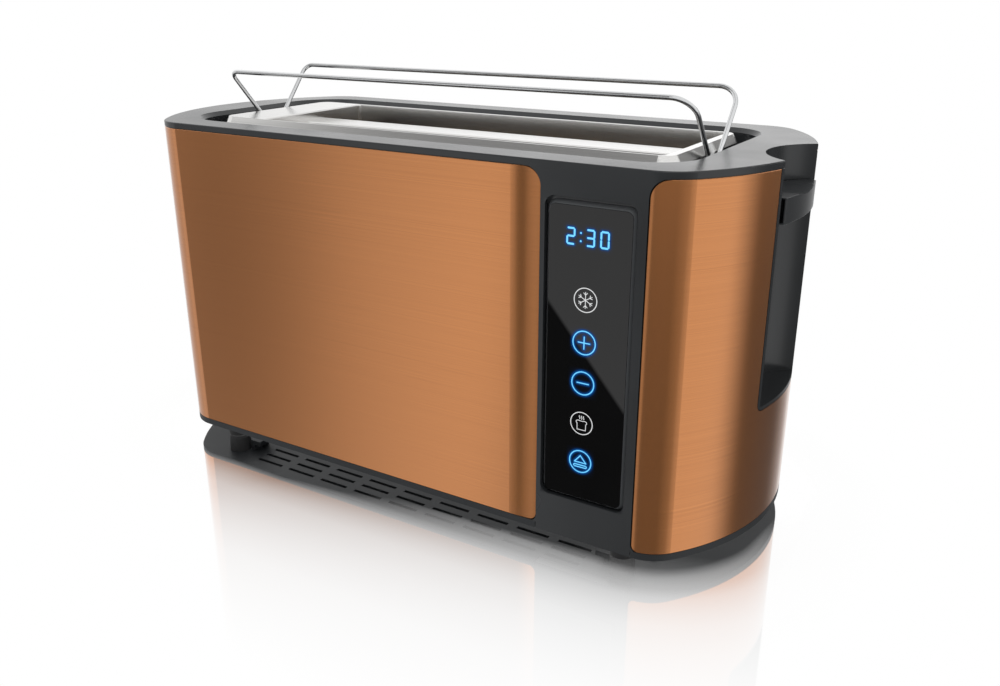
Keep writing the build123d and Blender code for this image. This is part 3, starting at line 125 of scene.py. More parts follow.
class ToasterPanel(bpy.types.PropertyGroup):
    """Sizes and colours of what lights up behind the glass."""

    glow: colour_property("Glow", "Lit strokes", 108, 204, 252)
    halo: colour_property("Halo", "Light round the lit strokes", 10, 92, 178)
    glass_edge: colour_property("Glass edge", "Ground edge of the glass", 84, 86, 88)
    # Colour of the white print, which is made to glow: painted light on unlit symbols
    print_painted_glow: colour_property("White print with painted glow", "Unlit symbols", 226, 227, 228)
    ring_radius: length_property("Ring radius", "Middle of each symbol's ring", 5.95 * MM)
    ring_stroke: length_property("Ring stroke", "Width of each lit symbol's ring", 0.56 * MM)
    digit_height: length_property("Digit height", "Height of the clock digits", 7.5 * MM)
    digit_width: length_property("Digit width", "Width of the clock digits", 3.8 * MM)
    digit_stroke: length_property("Digit stroke", "Width of a clock segment", 0.92 * MM)
    halo_spread: length_property("Halo spread", "Reach of the light round a stroke", 0.6 * MM)
    lift: length_property("Lift", "How far the strokes stand before the glass", 0.05 * MM)


class ToasterStage(bpy.types.PropertyGroup):
    """Studio light, floor and camera."""

    floor: colour_property("Floor", "Pale floor", 250, 250, 250)
    mirror: number_property("Floor mirror", "How far the floor mirrors", 8.0, min=0, max=10)
    key: number_property("Key light", "Large lamp above", 9.0, unit="POWER")
    fill: number_property("Fill light", "Lamp at the left", 5.0, unit="POWER")
    wall: factor_property("Reflection wall", "Strength of what the metal mirrors", 1.0)
    lens: number_property("Lens", "Focal length", 34.09, unit="CAMERA")
    pitch: angle_property("Pitch", "How far the camera looks down", 20.445)
    turn: angle_property("Turn", "How far the camera stands to the right", 31.455)
    place: bpy.props.FloatVectorProperty(
        name="Camera place",
        description="Where the camera stands",
        default=(0.3086, -0.4685, 0.2786),
        unit="LENGTH",
    )


# Building blocks for materials
NOISE_ENDS = (0.3, 0.7)
MIX_FIRST, MIX_SECOND, MIX_RESULT = 6, 7, 2


def set_inputs(node, **values):
    """Fixed values on a node's own sockets, with underscores for the spaces in their names."""
    for key, value in values.items():
        node.inputs[key.replace("_", " ")].default_value = value
    return node


def add_node(tree, kind, settings=None, **values):
    """One shader node with its settings and the values of its free inputs."""
    node = tree.nodes.new(kind)
    for key, value in (settings or {}).items():
        setattr(node, key, value)
    return set_inputs(node, **values)


def join(tree, source, target):
    """A link between two sockets."""
    tree.links.new(source, target)


def new_material(name):
    """A node material with a Principled shader, returned with its tree and that shader."""
    material = bpy.data.materials.new(name)
    material.use_nodes = True
    tree = material.node_tree
    return material, tree, tree.nodes["Principled BSDF"]


def bare_material(name):
    """A node material with only an output, returned with its tree and the output's socket."""
    material = bpy.data.materials.new(name)
    material.use_nodes = True
    tree = material.node_tree
    tree.nodes.clear()
    return material, tree, tree.nodes.new("ShaderNodeOutputMaterial").inputs["Surface"]


def emitting(name):
    """A material with one emission shader, returned with its tree and that shader."""
    material, tree, surface = bare_material(name)
    shader = tree.nodes.new("ShaderNodeEmission")
    join(tree, shader.outputs[0], surface)
    return material, tree, shader


def new_group(name, inputs, outputs):
    """A shader node group with named sockets, returned with its input and output nodes."""
    group = bpy.data.node_groups.new(name, "ShaderNodeTree")
    for side, sockets in (("INPUT", inputs), ("OUTPUT", outputs)):
        for label, kind in sockets:
            group.interface.new_socket(label, in_out=side, socket_type=kind)
    return group, group.nodes.new("NodeGroupInput"), group.nodes.new("NodeGroupOutput")


def place_group(tree, group, **values):
    """A group placed in a material, on the object's own coordinates, with its own values."""
    node = add_node(tree, "ShaderNodeGroup", {"node_tree": group}, **values)
    join(tree, object_place(tree), node.inputs["Vector"])
    return node


def object_place(tree):
    """Object coordinates."""
    return tree.nodes.new("ShaderNodeTexCoord").outputs["Object"]


def with_alpha(colour):
    """A colour as a shader socket takes it."""
    return (*colour, 1.0)


def toned(colour, share):
    """A colour times a share."""
    return tuple(value * share for value in colour)


def math_node(tree, operation, first, second):
    """One step of arithmetic on two inputs, each a socket or a number."""
    node = add_node(tree, "ShaderNodeMath", {"operation": operation})
    for index, value in enumerate((first, second)):
        if isinstance(value, (int, float)):
            node.inputs[index].default_value = value
        else:
            join(tree, value, node.inputs[index])
    return node.outputs[0]


def vector_node(tree, operation, first, second=None):
    """One step of arithmetic on a vector socket and, where given, another one or a fixed vector."""
    node = add_node(tree, "ShaderNodeVectorMath", {"operation": operation})
    join(tree, first, node.inputs[0])
    if isinstance(second, tuple):
        node.inputs[1].default_value = second
    elif second is not None:
        join(tree, second, node.inputs[1])
    return node.outputs["Value" if operation == "LENGTH" else "Vector"]


def map_range(tree, source, ends, results):
    """A value that goes between two results as a socket goes between two ends."""
    node = add_node(tree, "ShaderNodeMapRange", From_Min=ends[0], From_Max=ends[1])
    set_inputs(node, To_Min=results[0], To_Max=results[1])
    join(tree, source, node.inputs["Value"])
    return node.outputs[0]


def spread_value(tree, source, low, high):
    """A value from low to high as a noise goes from its usual least to its usual most."""
    return map_range(tree, source, NOISE_ENDS, (low, high))


def between(tree, source, ends):
    """A share from 0 to 1 as a value goes from one end to the other."""
    return map_range(tree, source, ends, (0.0, 1.0))


def window(tree, source, ends):
    """A share that rises between the first two ends and falls between the last two."""
    rise = between(tree, source, ends[:2])
    fall = between(tree, source, (ends[3], ends[2]))
    return math_node(tree, "MULTIPLY", rise, fall)


def blend_colours(tree, factor, first, second):
    """A colour between two by a factor socket, each of the two a socket or a fixed colour."""
    mix = add_node(tree, "ShaderNodeMix", {"data_type": "RGBA"})
    join(tree, factor, mix.inputs["Factor"])
    for index, colour in ((MIX_FIRST, first), (MIX_SECOND, second)):
        if isinstance(colour, tuple):
            mix.inputs[index].default_value = with_alpha(colour)
        else:
            join(tree, colour, mix.inputs[index])
    return mix.outputs[MIX_RESULT]


def vary_colour(tree, source, first, second, target):
    """A colour that goes from the first to the second with a noise."""
    factor = spread_value(tree, source, 0.0, 1.0)
    join(tree, blend_colours(tree, factor, first, second), target)


def vary_roughness(tree, source, middle, swing, shader):
    """Roughness that goes from a swing below its middle to a swing above it with a noise."""
    value = spread_value(tree, source, middle - swing, middle + swing)
    join(tree, value, shader.inputs["Roughness"])


def bump(tree, shader, height, strength, distance):
    """A bump on the shader's normal."""
    node = add_node(tree, "ShaderNodeBump", Strength=strength, Distance=distance)
    join(tree, height, node.inputs["Height"])
    join(tree, node.outputs["Normal"], shader.inputs["Normal"])


def ramp_node(tree, stops, source):
    """A ramp of grey levels along a socket, from pairs of place and level."""
    ramp = tree.nodes.new("ShaderNodeValToRGB")
    marks = ramp.color_ramp.elements
    marks[1].position = stops[-1][0]
    marks[0].position = stops[0][0]
    for place, _ in stops[1:-1]:
        marks.new(place)
    for mark, (_, level) in zip(marks, stops):
        mark.color = (level, level, level, 1)
    join(tree, source, ramp.inputs[0])
    return ramp.outputs[0]


# Finishes
BRUSH_SWING = -0.02
BRUSH_HEIGHT = 0.2 * MM
STRENGTH_ENDS, STRENGTHS = (0.35, 0.7), (0.35, 1.2)
SCRATCH_ENDS, SCRATCHES = (0.3, 0.2), (0.0, 0.1)
MARK_LEVEL = 0.5
MOULDED_TONES = (0.86, 1.1)
MOULDED_SWING = 0.04
ROLLED_GRAIN = 900.0
ROLLED_SWING = 0.05
ROLLED_DEPTH = 0.06
GRAIN_HEIGHT = 0.1 * MM
FLAKE_SWING = 0.1
FLAKE_DEPTH = 0.1
FLAKE_HEIGHT = 0.2 * MM
GLASS_BLACK = (0.0012, 0.0012, 0.0013)
GLASS_WIPED = (0.0018, 0.0018, 0.0019)
GLASS_ROUGHNESS = (0.02, 0.04)
GLASS_BEVEL = (GLASS_FRONT + 0.1 * MM, GLASS_FRONT + 0.3 * MM)
BEVEL_ROUGHNESS = 0.3
LIT_LEAST = 0.92
LIT_BODY = (0.01, 0.01, 0.012)
BLACK = (0.0, 0.0, 0.0)
WHITE = (1.0, 1.0, 1.0)


def brush_marks():
    """Straight hairlines whose strength comes and goes along them, with a few darker scratches."""
    name = "Brush marks"
    if name in bpy.data.node_groups:
        return bpy.data.node_groups[name]
    group, source, result = new_group(
        name,
        [(label, "NodeSocketVector") for label in ("Vector", "Lines", "Breaks")],
        [("Marks", "NodeSocketFloat")],
    )
    noises = []
    for label, detail, roughness in (("Lines", 2.0, 0.6), ("Breaks", 1.0, 0.5)):
        place = vector_node(group, "MULTIPLY", source.outputs["Vector"], source.outputs[label])
        noise = add_node(group, "ShaderNodeTexNoise", {"label": label}, Scale=1.0)
        set_inputs(noise, Detail=detail, Roughness=roughness)
        join(group, place, noise.inputs["Vector"])
        noises.append(noise.outputs["Fac"])
    lines, breaks = noises
    swing = math_node(group, "SUBTRACT", lines, MARK_LEVEL)
    swing = math_node(group, "MULTIPLY", swing, map_range(group, breaks, STRENGTH_ENDS, STRENGTHS))
    scratch = map_range(group, breaks, SCRATCH_ENDS, SCRATCHES)
    level = math_node(group, "SUBTRACT", MARK_LEVEL, scratch)
    join(group, math_node(group, "ADD", swing, level), result.inputs["Marks"])
    return group


def moulded_grain():
    """A fine spark-eroded bump with a slow change of tone."""
    name = "Moulded grain"
    if name in bpy.data.node_groups:
        return bpy.data.node_groups[name]
    group, source, result = new_group(
        name,
        [("Vector", "NodeSocketVector"), ("Grain", "NodeSocketFloat")],
        [("Tone", "NodeSocketFloat"), ("Height", "NodeSocketFloat")],
    )
    grain = add_node(group, "ShaderNodeTexNoise", {"label": "Grain"}, Detail=2.0, Roughness=0.55)
    slow = add_node(group, "ShaderNodeTexNoise", {"label": "Slow tone"}, Scale=14.0, Detail=3.0)
    join(group, source.outputs["Vector"], grain.inputs["Vector"])
    join(group, source.outputs["Grain"], grain.inputs["Scale"])
    join(group, source.outputs["Vector"], slow.inputs["Vector"])
    join(group, slow.outputs["Fac"], result.inputs["Tone"])
    join(group, grain.outputs["Fac"], result.inputs["Height"])
    return group


def brushed_metal(name, light, dark, roughness, lines, breaks, depth, anisotropic):
    """Brushed metal whose marks run along the small entries of the given scales."""
    material, tree, shader = new_material(name)
    marks = place_group(tree, brush_marks(), Lines=lines, Breaks=breaks).outputs["Marks"]
    vary_colour(tree, marks, dark, light, shader.inputs["Base Color"])
    vary_roughness(tree, marks, roughness, BRUSH_SWING, shader)
    bump(tree, shader, marks, depth, BRUSH_HEIGHT)
    set_inputs(shader, Metallic=1.0, Anisotropic=anisotropic, Anisotropic_Rotation=0.25)
    tangent = add_node(tree, "ShaderNodeTangent", {"direction_type": "RADIAL", "axis": "Z"})
    join(tree, tangent.outputs[0], shader.inputs["Tangent"])
    return material


def moulded_plastic(name, colour, roughness, grain, depth):
    """Satin plastic with a moulded grain."""
    material, tree, shader = new_material(name)
    surface = place_group(tree, moulded_grain(), Grain=grain).outputs
    dark, light = (toned(colour, share) for share in MOULDED_TONES)
    vary_colour(tree, surface["Tone"], dark, light, shader.inputs["Base Color"])
    vary_roughness(tree, surface["Tone"], roughness, MOULDED_SWING, shader)
    bump(tree, shader, surface["Height"], depth, GRAIN_HEIGHT)
    return material


def plain_metal(name, colour, tint, roughness):
    """Rolled metal: a slow cloud of tone and roughness, with a tint where it has been hot."""
    material, tree, shader = new_material(name)
    surface = place_group(tree, moulded_grain(), Grain=ROLLED_GRAIN).outputs
    vary_colour(tree, surface["Tone"], tint, colour, shader.inputs["Base Color"])
    vary_roughness(tree, surface["Height"], roughness, ROLLED_SWING, shader)
    bump(tree, shader, surface["Height"], ROLLED_DEPTH, GRAIN_HEIGHT)
    set_inputs(shader, Metallic=1.0)
    return material


def flaked(name, colour, fleck, scale, roughness):
    """Pressed flakes: cells of slightly different tone."""
    material, tree, shader = new_material(name)
    cells = add_node(tree, "ShaderNodeTexVoronoi", Scale=scale)
    join(tree, object_place(tree), cells.inputs["Vector"])
    shade = tree.nodes.new("ShaderNodeSeparateColor")
    join(tree, cells.outputs["Color"], shade.inputs[0])
    mixed = blend_colours(tree, shade.outputs[0], colour, fleck)
    join(tree, mixed, shader.inputs["Base Color"])
    vary_roughness(tree, shade.outputs[1], roughness, FLAKE_SWING, shader)
    bump(tree, shader, cells.outputs["Distance"], FLAKE_DEPTH, FLAKE_HEIGHT)
    return material


def glass_panel(name, edge):
    """Black backed glass with faint wiping marks in its gloss and a paler ground edge."""
    material, tree, shader = new_material(name)
    place = object_place(tree)
    marks = add_node(tree, "ShaderNodeTexNoise", Scale=26.0, Detail=4.0, Distortion=0.6)
    join(tree, place, marks.inputs["Vector"])
    wiped = spread_value(tree, marks.outputs["Fac"], 0.0, 1.0)
    polish = blend_colours(tree, wiped, GLASS_BLACK, GLASS_WIPED)
    split = tree.nodes.new("ShaderNodeSeparateXYZ")
    join(tree, place, split.inputs[0])
    ground = between(tree, split.outputs["Y"], GLASS_BEVEL)
    join(tree, blend_colours(tree, ground, polish, edge), shader.inputs["Base Color"])
    haze = math_node(tree, "MULTIPLY", ground, BEVEL_ROUGHNESS)
    gloss = spread_value(tree, marks.outputs["Fac"], *GLASS_ROUGHNESS)
    join(tree, math_node(tree, "ADD", haze, gloss), shader.inputs["Roughness"])
    set_inputs(shader, IOR=1.5)
    return material


def lit(name, colour, strength):
    """A glowing stroke, a little uneven along its length; on the unlit white print the glow is
    painted light.
    """
    material, tree, shader = new_material(name)
    noise = add_node(tree, "ShaderNodeTexNoise", Scale=900.0, Detail=1.0)
    join(tree, object_place(tree), noise.inputs["Vector"])
    dim = toned(colour, LIT_LEAST)
    vary_colour(tree, noise.outputs["Fac"], dim, colour, shader.inputs["Emission Color"])
    set_inputs(shader, Base_Color=with_alpha(LIT_BODY), Emission_Strength=strength, Roughness=0.5)
    return material


def halo_light(name, colour, strength):
    """Light spread in the glass round a stroke, which fades by the piece's own glow attribute."""
    material, tree, shader = new_material(name)
    glow = add_node(tree, "ShaderNodeAttribute", {"attribute_name": "glow"})
    join(tree, glow.outputs["Fac"], shader.inputs["Alpha"])
    set_inputs(shader, Base_Color=with_alpha(BLACK), Roughness=0.6, Specular_IOR_Level=0.0)
    set_inputs(shader, Emission_Color=with_alpha(colour), Emission_Strength=strength)
    return material


def dress(material, *names):
    """Gives CAD pieces a material."""
    for name in names:
        mesh = NODES[name].data
        mesh.materials.clear()
        mesh.materials.append(material)


class DressBody(bpy.types.Operator):
    """Brushed copper-coloured steel on the wrap."""

    bl_idname = "toaster.dress_body"
    bl_label = "Body steel"

    def execute(self, context):
        finish = context.scene.toaster_finish
        copper = brushed_metal(
            "Brushed copper steel",
            light=tuple(finish.copper_light),
            dark=tuple(finish.copper_dark),
            roughness=finish.copper_roughness,
            lines=(0.6, 0.6, 2100.0),
            breaks=(12.0, 12.0, 480.0),
            depth=finish.brush_depth,
            anisotropic=1.0,
        )
        lacquer = copper.node_tree.nodes["Principled BSDF"]
        set_inputs(lacquer, Coat_Weight=0.7, Coat_Roughness=0.14)
        dress(copper, "left_wrap", "right_wrap")
        return {"FINISHED"}


class DressMouldings(bpy.types.Operator):
    """Plastic on cover, lever channel, lever, base and tray strip, rubber on feet and gland."""

    bl_idname = "toaster.dress_mouldings"
    bl_label = "Mouldings"

    def execute(self, context):
        finish = context.scene.toaster_finish
        dark, base, black = tuple(finish.moulding), tuple(finish.base), tuple(finish.rubber)
        satin = moulded_plastic("Satin moulding", dark, roughness=0.24, grain=2600.0, depth=0.03)
        grip = moulded_plastic("Lever moulding", dark, roughness=0.32, grain=2600.0, depth=0.05)
        under = moulded_plastic("Base moulding", base, roughness=0.45, grain=1800.0, depth=0.1)
        set_inputs(under.node_tree.nodes["Principled BSDF"], Specular_IOR_Level=0.25)
        rubber = moulded_plastic("Foot rubber", black, roughness=0.7, grain=1500.0, depth=0.15)
        dress(satin, "top_cover", "lever_channel")
        dress(grip, "lever_handle")
        dress(under, "base_plate", "tray_handle")
        dress(rubber, "feet", "cord_gland")
        return {"FINISHED"}


class DressBrightMetal(bpy.types.Operator):
    """Bright steel on the slot plate, the warming rack, the rod, the spring and the screws."""

    bl_idname = "toaster.dress_bright_metal"
    bl_label = "Bright metal"

    def execute(self, context):
        finish = context.scene.toaster_finish
        steel, drawn = tuple(finish.bright_steel), tuple(finish.wire)
        plate = brushed_metal(
            "Brushed slot plate",
            light=steel,
            dark=toned(steel, 0.86),
            roughness=0.2,
            lines=(0.8, 1900.0, 1900.0),
            breaks=(16.0, 600.0, 600.0),
            depth=0.02,
            anisotropic=0.0,
        )
        wire = plain_metal("Polished wire", drawn, tint=toned(drawn, 0.8), roughness=0.16)
        dress(plate, "slot_plate")
        dress(wire, "front_bail", "rear_bail", "guide_rod", "lift_spring", "base_screws")
        return {"FINISHED"}


class DressInside(bpy.types.Operator):
    """Sheet steel, wire, mica, ribbon, iron, winding and boards inside."""

    bl_idname = "toaster.dress_inside"
    bl_label = "Inside"

    def execute(self, context):
        finish = context.scene.toaster_finish
        steel, flakes = tuple(finish.sheet_steel), tuple(finish.mica)
        dark_nickel, grey_iron = linear(96, 92, 90), linear(110, 110, 112)
        green, dark_green, grey = linear(32, 92, 56), linear(24, 74, 44), linear(46, 46, 50)
        sheet = plain_metal("Rolled sheet", steel, tint=linear(150, 128, 104), roughness=0.34)
        drawn = plain_metal("Drawn wire", steel, tint=linear(140, 122, 104), roughness=0.25)
        mica = flaked("Mica", flakes, fleck=linear(164, 140, 104), scale=420.0, roughness=0.45)
        ribbon = plain_metal("Heating ribbon", dark_nickel, tint=linear(62, 54, 50), roughness=0.5)
        iron = plain_metal("Magnet iron", grey_iron, tint=linear(84, 82, 82), roughness=0.45)
        winding = brushed_metal(
            "Winding",
            light=linear(196, 110, 60),
            dark=linear(120, 58, 28),
            roughness=0.35,
            lines=(1.0, 1.0, 2600.0),
            breaks=(20.0, 20.0, 700.0),
            depth=0.4,
            anisotropic=0.0,
        )
        board = flaked("Coated board", green, fleck=dark_green, scale=900.0, roughness=0.4)
        parts = moulded_plastic("Board parts", grey, roughness=0.4, grain=1400.0, depth=0.08)
        dress(sheet, "left_chassis", "right_chassis", "front_heat_shield", "rear_heat_shield")
        dress(sheet, "left_bail_bracket", "right_bail_bracket", "rod_bracket")
        dress(sheet, "crumb_tray", "carriage", "lever_arm")
        dress(drawn, "front_bread_rack", "rear_bread_rack")
        for row in ("front_outer", "front_inner", "rear_inner", "rear_outer"):
            dress(drawn, row + "_guard")
            dress(mica, row + "_heater")
        dress(ribbon, "heater_ribbons")
        dress(iron, "magnet_core", "armature")
        dress(winding, "magnet_coil")
        dress(board, "control_board", "power_board")
        dress(parts, "display_module", "power_components", "touch_pads")
        return {"FINISHED"}


class DressGlass(bpy.types.Operator):
    """Black glass on the touch panel."""

    bl_idname = "toaster.dress_glass"
    bl_label = "Glass"

    def execute(self, context):
        edge = tuple(context.scene.toaster_panel.glass_edge)
        dress(glass_panel("Black glass", edge), "touch_panel")
        return {"FINISHED"}


# Signs on the glass
SEGMENTS = {
    "top": ((0, 1), (1, 1)),
    "right_high": ((1, 1), (1, 0.5)),
    "right_low": ((1, 0.5), (1, 0)),
    "bottom": ((0, 0), (1, 0)),
    "left_low": ((0, 0.5), (0, 0)),
    "left_high": ((0, 1), (0, 0.5)),
    "middle": ((0, 0.5), (1, 0.5)),
}
DIGITS = {
    "two": ("top", "right_high", "middle", "left_low", "bottom"),
    "three": ("top", "right_high", "middle", "right_low", "bottom"),
    "nought": ("top", "right_high", "right_low", "bottom", "left_low", "left_high"),
}
DIGIT_LEFTS = {"two": 110.4 * MM, "three": 120.6 * MM, "nought": 127.9 * MM}
CLOCK_FOOT = 167.8 * MM
COLON_X = 117.5 * MM
COLON_SHARES = (0.24, 0.76)
DOT_LENGTH = 0.001 * MM
SEGMENT_GAP = 1.15
CLOCK_HALO_LOW = np.array([107.4, 164.6]) * MM
CLOCK_HALO_HIGH = np.array([134.6, 178.6]) * MM
SYMBOL_X = 120.9 * MM
SYMBOL_HEIGHTS = {
    "frost": 141.4 * MM,
    "plus": 119.9 * MM,
    "minus": 98.9 * MM,
    "bread": 77.4 * MM,
    "eject": 56.3 * MM,
}
LIT_SYMBOLS = ("plus", "minus", "eject")
# Lines of the symbols are in millimetres from each one's centre
BAR = 3.1
EJECT_LINES = [
    ((-3.2, -0.5), (0, 3.3)),
    ((0, 3.3), (3.2, -0.5)),
    ((-3.2, -0.5), (3.2, -0.5)),
    ((-3.1, -1.9), (3.1, -1.9)),
    ((-3.1, -3.1), (3.1, -3.1)),
    ((-3.5, -2.2), (-3.5, -2.8)),
    ((3.5, -2.2), (3.5, -2.8)),
]
FROST_ARMS = 6
FROST_LENGTH = 4.0
FROST_FORK = 2.6
FROST_TIP = 1.35
FROST_SPREAD = 0.8
BREAD_RIGHT = [(2.3, -3.5), (2.4, -0.3), (2.9, 0.4), (2.8, 1.1), (1.9, 1.5), (0.6, 1.3)]
STEAM_PLACES = (-1.1, 0.0, 1.1)
STEAM_FOOT = 2.3
STEAM_RISE = 1.7
STEAM_SWAY = 0.25
STEAM_POINTS = 7
PRINT_SHARE = 0.8
STROKE_DEPTH = 0.03 * MM
CLOCK_STEPS = 10
SYMBOL_STEPS = 6
RING_STEPS = 72
CLOCK_LIGHT = 1.25
SYMBOL_LIGHT = 1.2
# Emission given to the unlit white print: painted light
PRINT_PAINTED_GLOW = 1.0
HALO_LIGHT = 1.0
HALO_GRID = 0.22 * MM
HALO_CORE = 0.8
HALO_TAIL = 0.08
# The halo's fade at the sheet's edge and its reach are in spreads
HALO_FADE = 2
HALO_REACH = 4
HALO_LIFT = 1 / 3


def circle(count):
    """Points of the unit circle."""
    turn = np.linspace(0, 2 * pi, count, endpoint=False)
    return np.stack([np.cos(turn), np.sin(turn)], 1)


def loop_quads(count):
    """Faces between two closed loops of points, the second listed after the first."""
    first = np.arange(count)
    after = (first + 1) % count
    return np.stack([first, first + count, after + count, after], 1)


def mesh_piece(name, places, faces, material):
    """A piece in the scene with the given points, faces and material."""
    mesh = bpy.data.meshes.new(name)
    mesh.from_pydata(np.asarray(places, float).tolist(), [], faces)
    mesh.materials.append(material)
    piece = bpy.data.objects.new(name, mesh)
    bpy.context.scene.collection.objects.link(piece)
    return piece


def point_values(piece, name, values):
    """A number at each point of a piece, for its material to read."""
    attribute = piece.data.attributes.new(name, "FLOAT", "POINT")
    attribute.data.foreach_set("value", np.asarray(values, np.float32))


def before_glass(flat, lift):
    """Points given as x and z, lifted off the front of the glass."""
    return np.stack([flat[:, 0], np.full(len(flat), GLASS_FRONT - lift), flat[:, 1]], 1)


def capsule(start, end, half, steps):
    """A stroke with round ends: two half circles about its end points, given as x and z."""
    run = end - start
    turn = np.linspace(-pi / 2, pi / 2, steps) + np.arctan2(run[1], run[0])
    far = end + half * np.stack([np.cos(turn), np.sin(turn)], 1)
    near = start + half * np.stack([np.cos(turn + pi), np.sin(turn + pi)], 1)
    return np.concatenate([far, near])


def flat_strokes(name, capsules, hoops, material, lift):
    """A piece of flat strokes and rings before the glass, given a small thickness."""
    points, faces = [], []
    count = 0
    for outline in capsules:
        points.append(outline)
        faces.append(tuple(range(count, count + len(outline))))
        count += len(outline)
    for centre, inner, outer in hoops:
        unit = circle(RING_STEPS)
        points.extend((centre + inner * unit, centre + outer * unit))
        faces.extend(map(tuple, count + loop_quads(RING_STEPS)))
        count += 2 * RING_STEPS
    piece = mesh_piece(name, before_glass(np.concatenate(points), lift), faces, material)
    solid = piece.modifiers.new("Thickness", "SOLIDIFY")
    solid.thickness = STROKE_DEPTH
    solid.offset = -1
    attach(piece, "housing")


def distance_to_strokes(flat, segments, rings):
    """Least distance from points to line segments and to circles."""
    least = np.full(len(flat), np.inf)
    for start, end in segments:
        run = end - start
        share = np.clip(((flat - start) @ run) / (run @ run), 0, 1)
        least = np.minimum(least, np.linalg.norm(flat - start - share[:, None] * run, axis=1))
    for centre, radius in rings:
        least = np.minimum(least, np.abs(np.linalg.norm(flat - centre, axis=1) - radius))
    return least


def halo_sheet(name, low, high, segments, rings, material, panel):
    """A sheet before the glass whose glow falls off with the distance to the strokes."""
    columns, rows = ((high - low) / HALO_GRID).astype(int) + 2
    x, z = np.linspace(low[0], high[0], columns), np.linspace(low[1], high[1], rows)
    flat = np.stack([side.ravel() for side in np.meshgrid(x, z, indexing="ij")], 1)
    index = np.arange(len(flat)).reshape(columns, rows)
    corners = [index[:-1, :-1], index[1:, :-1], index[1:, 1:], index[:-1, 1:]]
    quads = np.stack([corner.ravel() for corner in corners], 1)
    places = before_glass(flat, panel.lift * HALO_LIFT)
    piece = mesh_piece(name, places, quads.tolist(), material)
    reach = distance_to_strokes(flat, segments, rings) / panel.halo_spread
    glow = HALO_CORE * np.exp(-(reach**2) / 2) + HALO_TAIL * np.exp(-reach / 2)
    edge = np.minimum(flat - low, high - flat).min(axis=1)
    fade = np.clip(edge / (HALO_FADE * panel.halo_spread), 0, 1)
    point_values(piece, "glow", glow * fade)
    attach(piece, "housing")


class BuildClock(bpy.types.Operator):
    """The lit clock digits."""

    bl_idname = "toaster.build_clock"
    bl_label = "Clock"

    def execute(self, context):
        panel = context.scene.toaster_panel
        half = panel.digit_stroke / 2
        size = np.array([panel.digit_width, panel.digit_height])
        segments = []
        for digit, left in DIGIT_LEFTS.items():
            corner = np.array([left, CLOCK_FOOT])
            for label in DIGITS[digit]:
                start, end = (corner + np.array(point) * size for point in SEGMENTS[label])
                inward = (end - start) / np.linalg.norm(end - start) * SEGMENT_GAP * half
                segments.append((start + inward, end - inward))
        for share in COLON_SHARES:
            dot = np.array([COLON_X, CLOCK_FOOT + share * panel.digit_height])
            segments.append((dot, dot + np.array([DOT_LENGTH, 0])))
        strokes = [capsule(start, end, half, CLOCK_STEPS) for start, end in segments]
        glow = lit("Clock light", tuple(panel.glow), CLOCK_LIGHT)
        halo = halo_light("Clock halo", tuple(panel.halo), HALO_LIGHT)
        flat_strokes("clock_digits", strokes, [], glow, panel.lift)
        halo_sheet("clock_halo", CLOCK_HALO_LOW, CLOCK_HALO_HIGH, segments, [], halo, panel)
        return {"FINISHED"}


def frost_lines():
    """The arms of a snowflake, each with a fork."""
    lines = []
    for turn in np.arange(FROST_ARMS) * 2 * pi / FROST_ARMS + pi / 2:
        out = np.array([np.cos(turn), np.sin(turn)])
        lines.append(((0, 0), FROST_LENGTH * out))
        for tilt in (turn - FROST_SPREAD, turn + FROST_SPREAD):
            tip = np.array([np.cos(tilt), np.sin(tilt)])
            lines.append((FROST_FORK * out, FROST_FORK * out + FROST_TIP * tip))
    return lines


def bread_lines():
    """A slice of bread with wisps of steam."""
    mirrored = [(-x, z) for x, z in reversed(BREAD_RIGHT)]
    outline = [mirrored[-1], *BREAD_RIGHT, *mirrored]
    lines = list(zip(outline[:-1], outline[1:]))
    rise = np.linspace(0, 1, STEAM_POINTS)
    for x in STEAM_PLACES:
        sway = x + STEAM_SWAY * np.sin(2 * pi * rise)
        wave = np.stack([sway, STEAM_FOOT + STEAM_RISE * rise], 1)
        lines += zip(wave[:-1], wave[1:])
    return lines


SYMBOL_LINES = {
    "frost": frost_lines(),
    "plus": [((-BAR, 0), (BAR, 0)), ((0, -BAR), (0, BAR))],
    "minus": [((-BAR, 0), (BAR, 0))],
    "bread": bread_lines(),
    "eject": EJECT_LINES,
}


class BuildSymbols(bpy.types.Operator):
    """The ringed touch symbols: frost and bread in white print given a painted glow, plus, minus
    and eject lit.
    """

    bl_idname = "toaster.build_symbols"
    bl_label = "Symbols"

    def execute(self, context):
        panel = context.scene.toaster_panel
        # The white print glows though it is unlit: painted light
        white = lit("White print with painted glow", tuple(panel.print_painted_glow), PRINT_PAINTED_GLOW)
        glow = lit("Symbol light", tuple(panel.glow), SYMBOL_LIGHT)
        halo = halo_light("Symbol halo", tuple(panel.halo), HALO_LIGHT)
        radius = panel.ring_radius
        reach = radius + HALO_REACH * panel.halo_spread
        for kind, height in SYMBOL_HEIGHTS.items():
            bright = kind in LIT_SYMBOLS
            share = 1 if bright else PRINT_SHARE
            half = share * panel.ring_stroke / 2
            centre = np.array([SYMBOL_X, height])
            segments = [
                (centre + np.array(start) * MM, centre + np.array(end) * MM)
                for start, end in SYMBOL_LINES[kind]
            ]
            strokes = [capsule(start, end, share * half, SYMBOL_STEPS) for start, end in segments]
            ring = (centre, radius - half, radius + half)
            flat_strokes(kind + "_symbol", strokes, [ring], glow if bright else white, panel.lift)
            if bright:
                low, high, rings = centre - reach, centre + reach, [(centre, radius)]
                halo_sheet(kind + "_halo", low, high, segments, rings, halo, panel)
        return {"FINISHED"}


# Studio
FLOOR_SPAN = 4.0
FLOOR_ROUND = 0.06
FLOOR_REACH = 0.2
FLOOR_INSET = 0.008
MIRROR_MOST = 0.65
MIRROR_POWER = 4.0
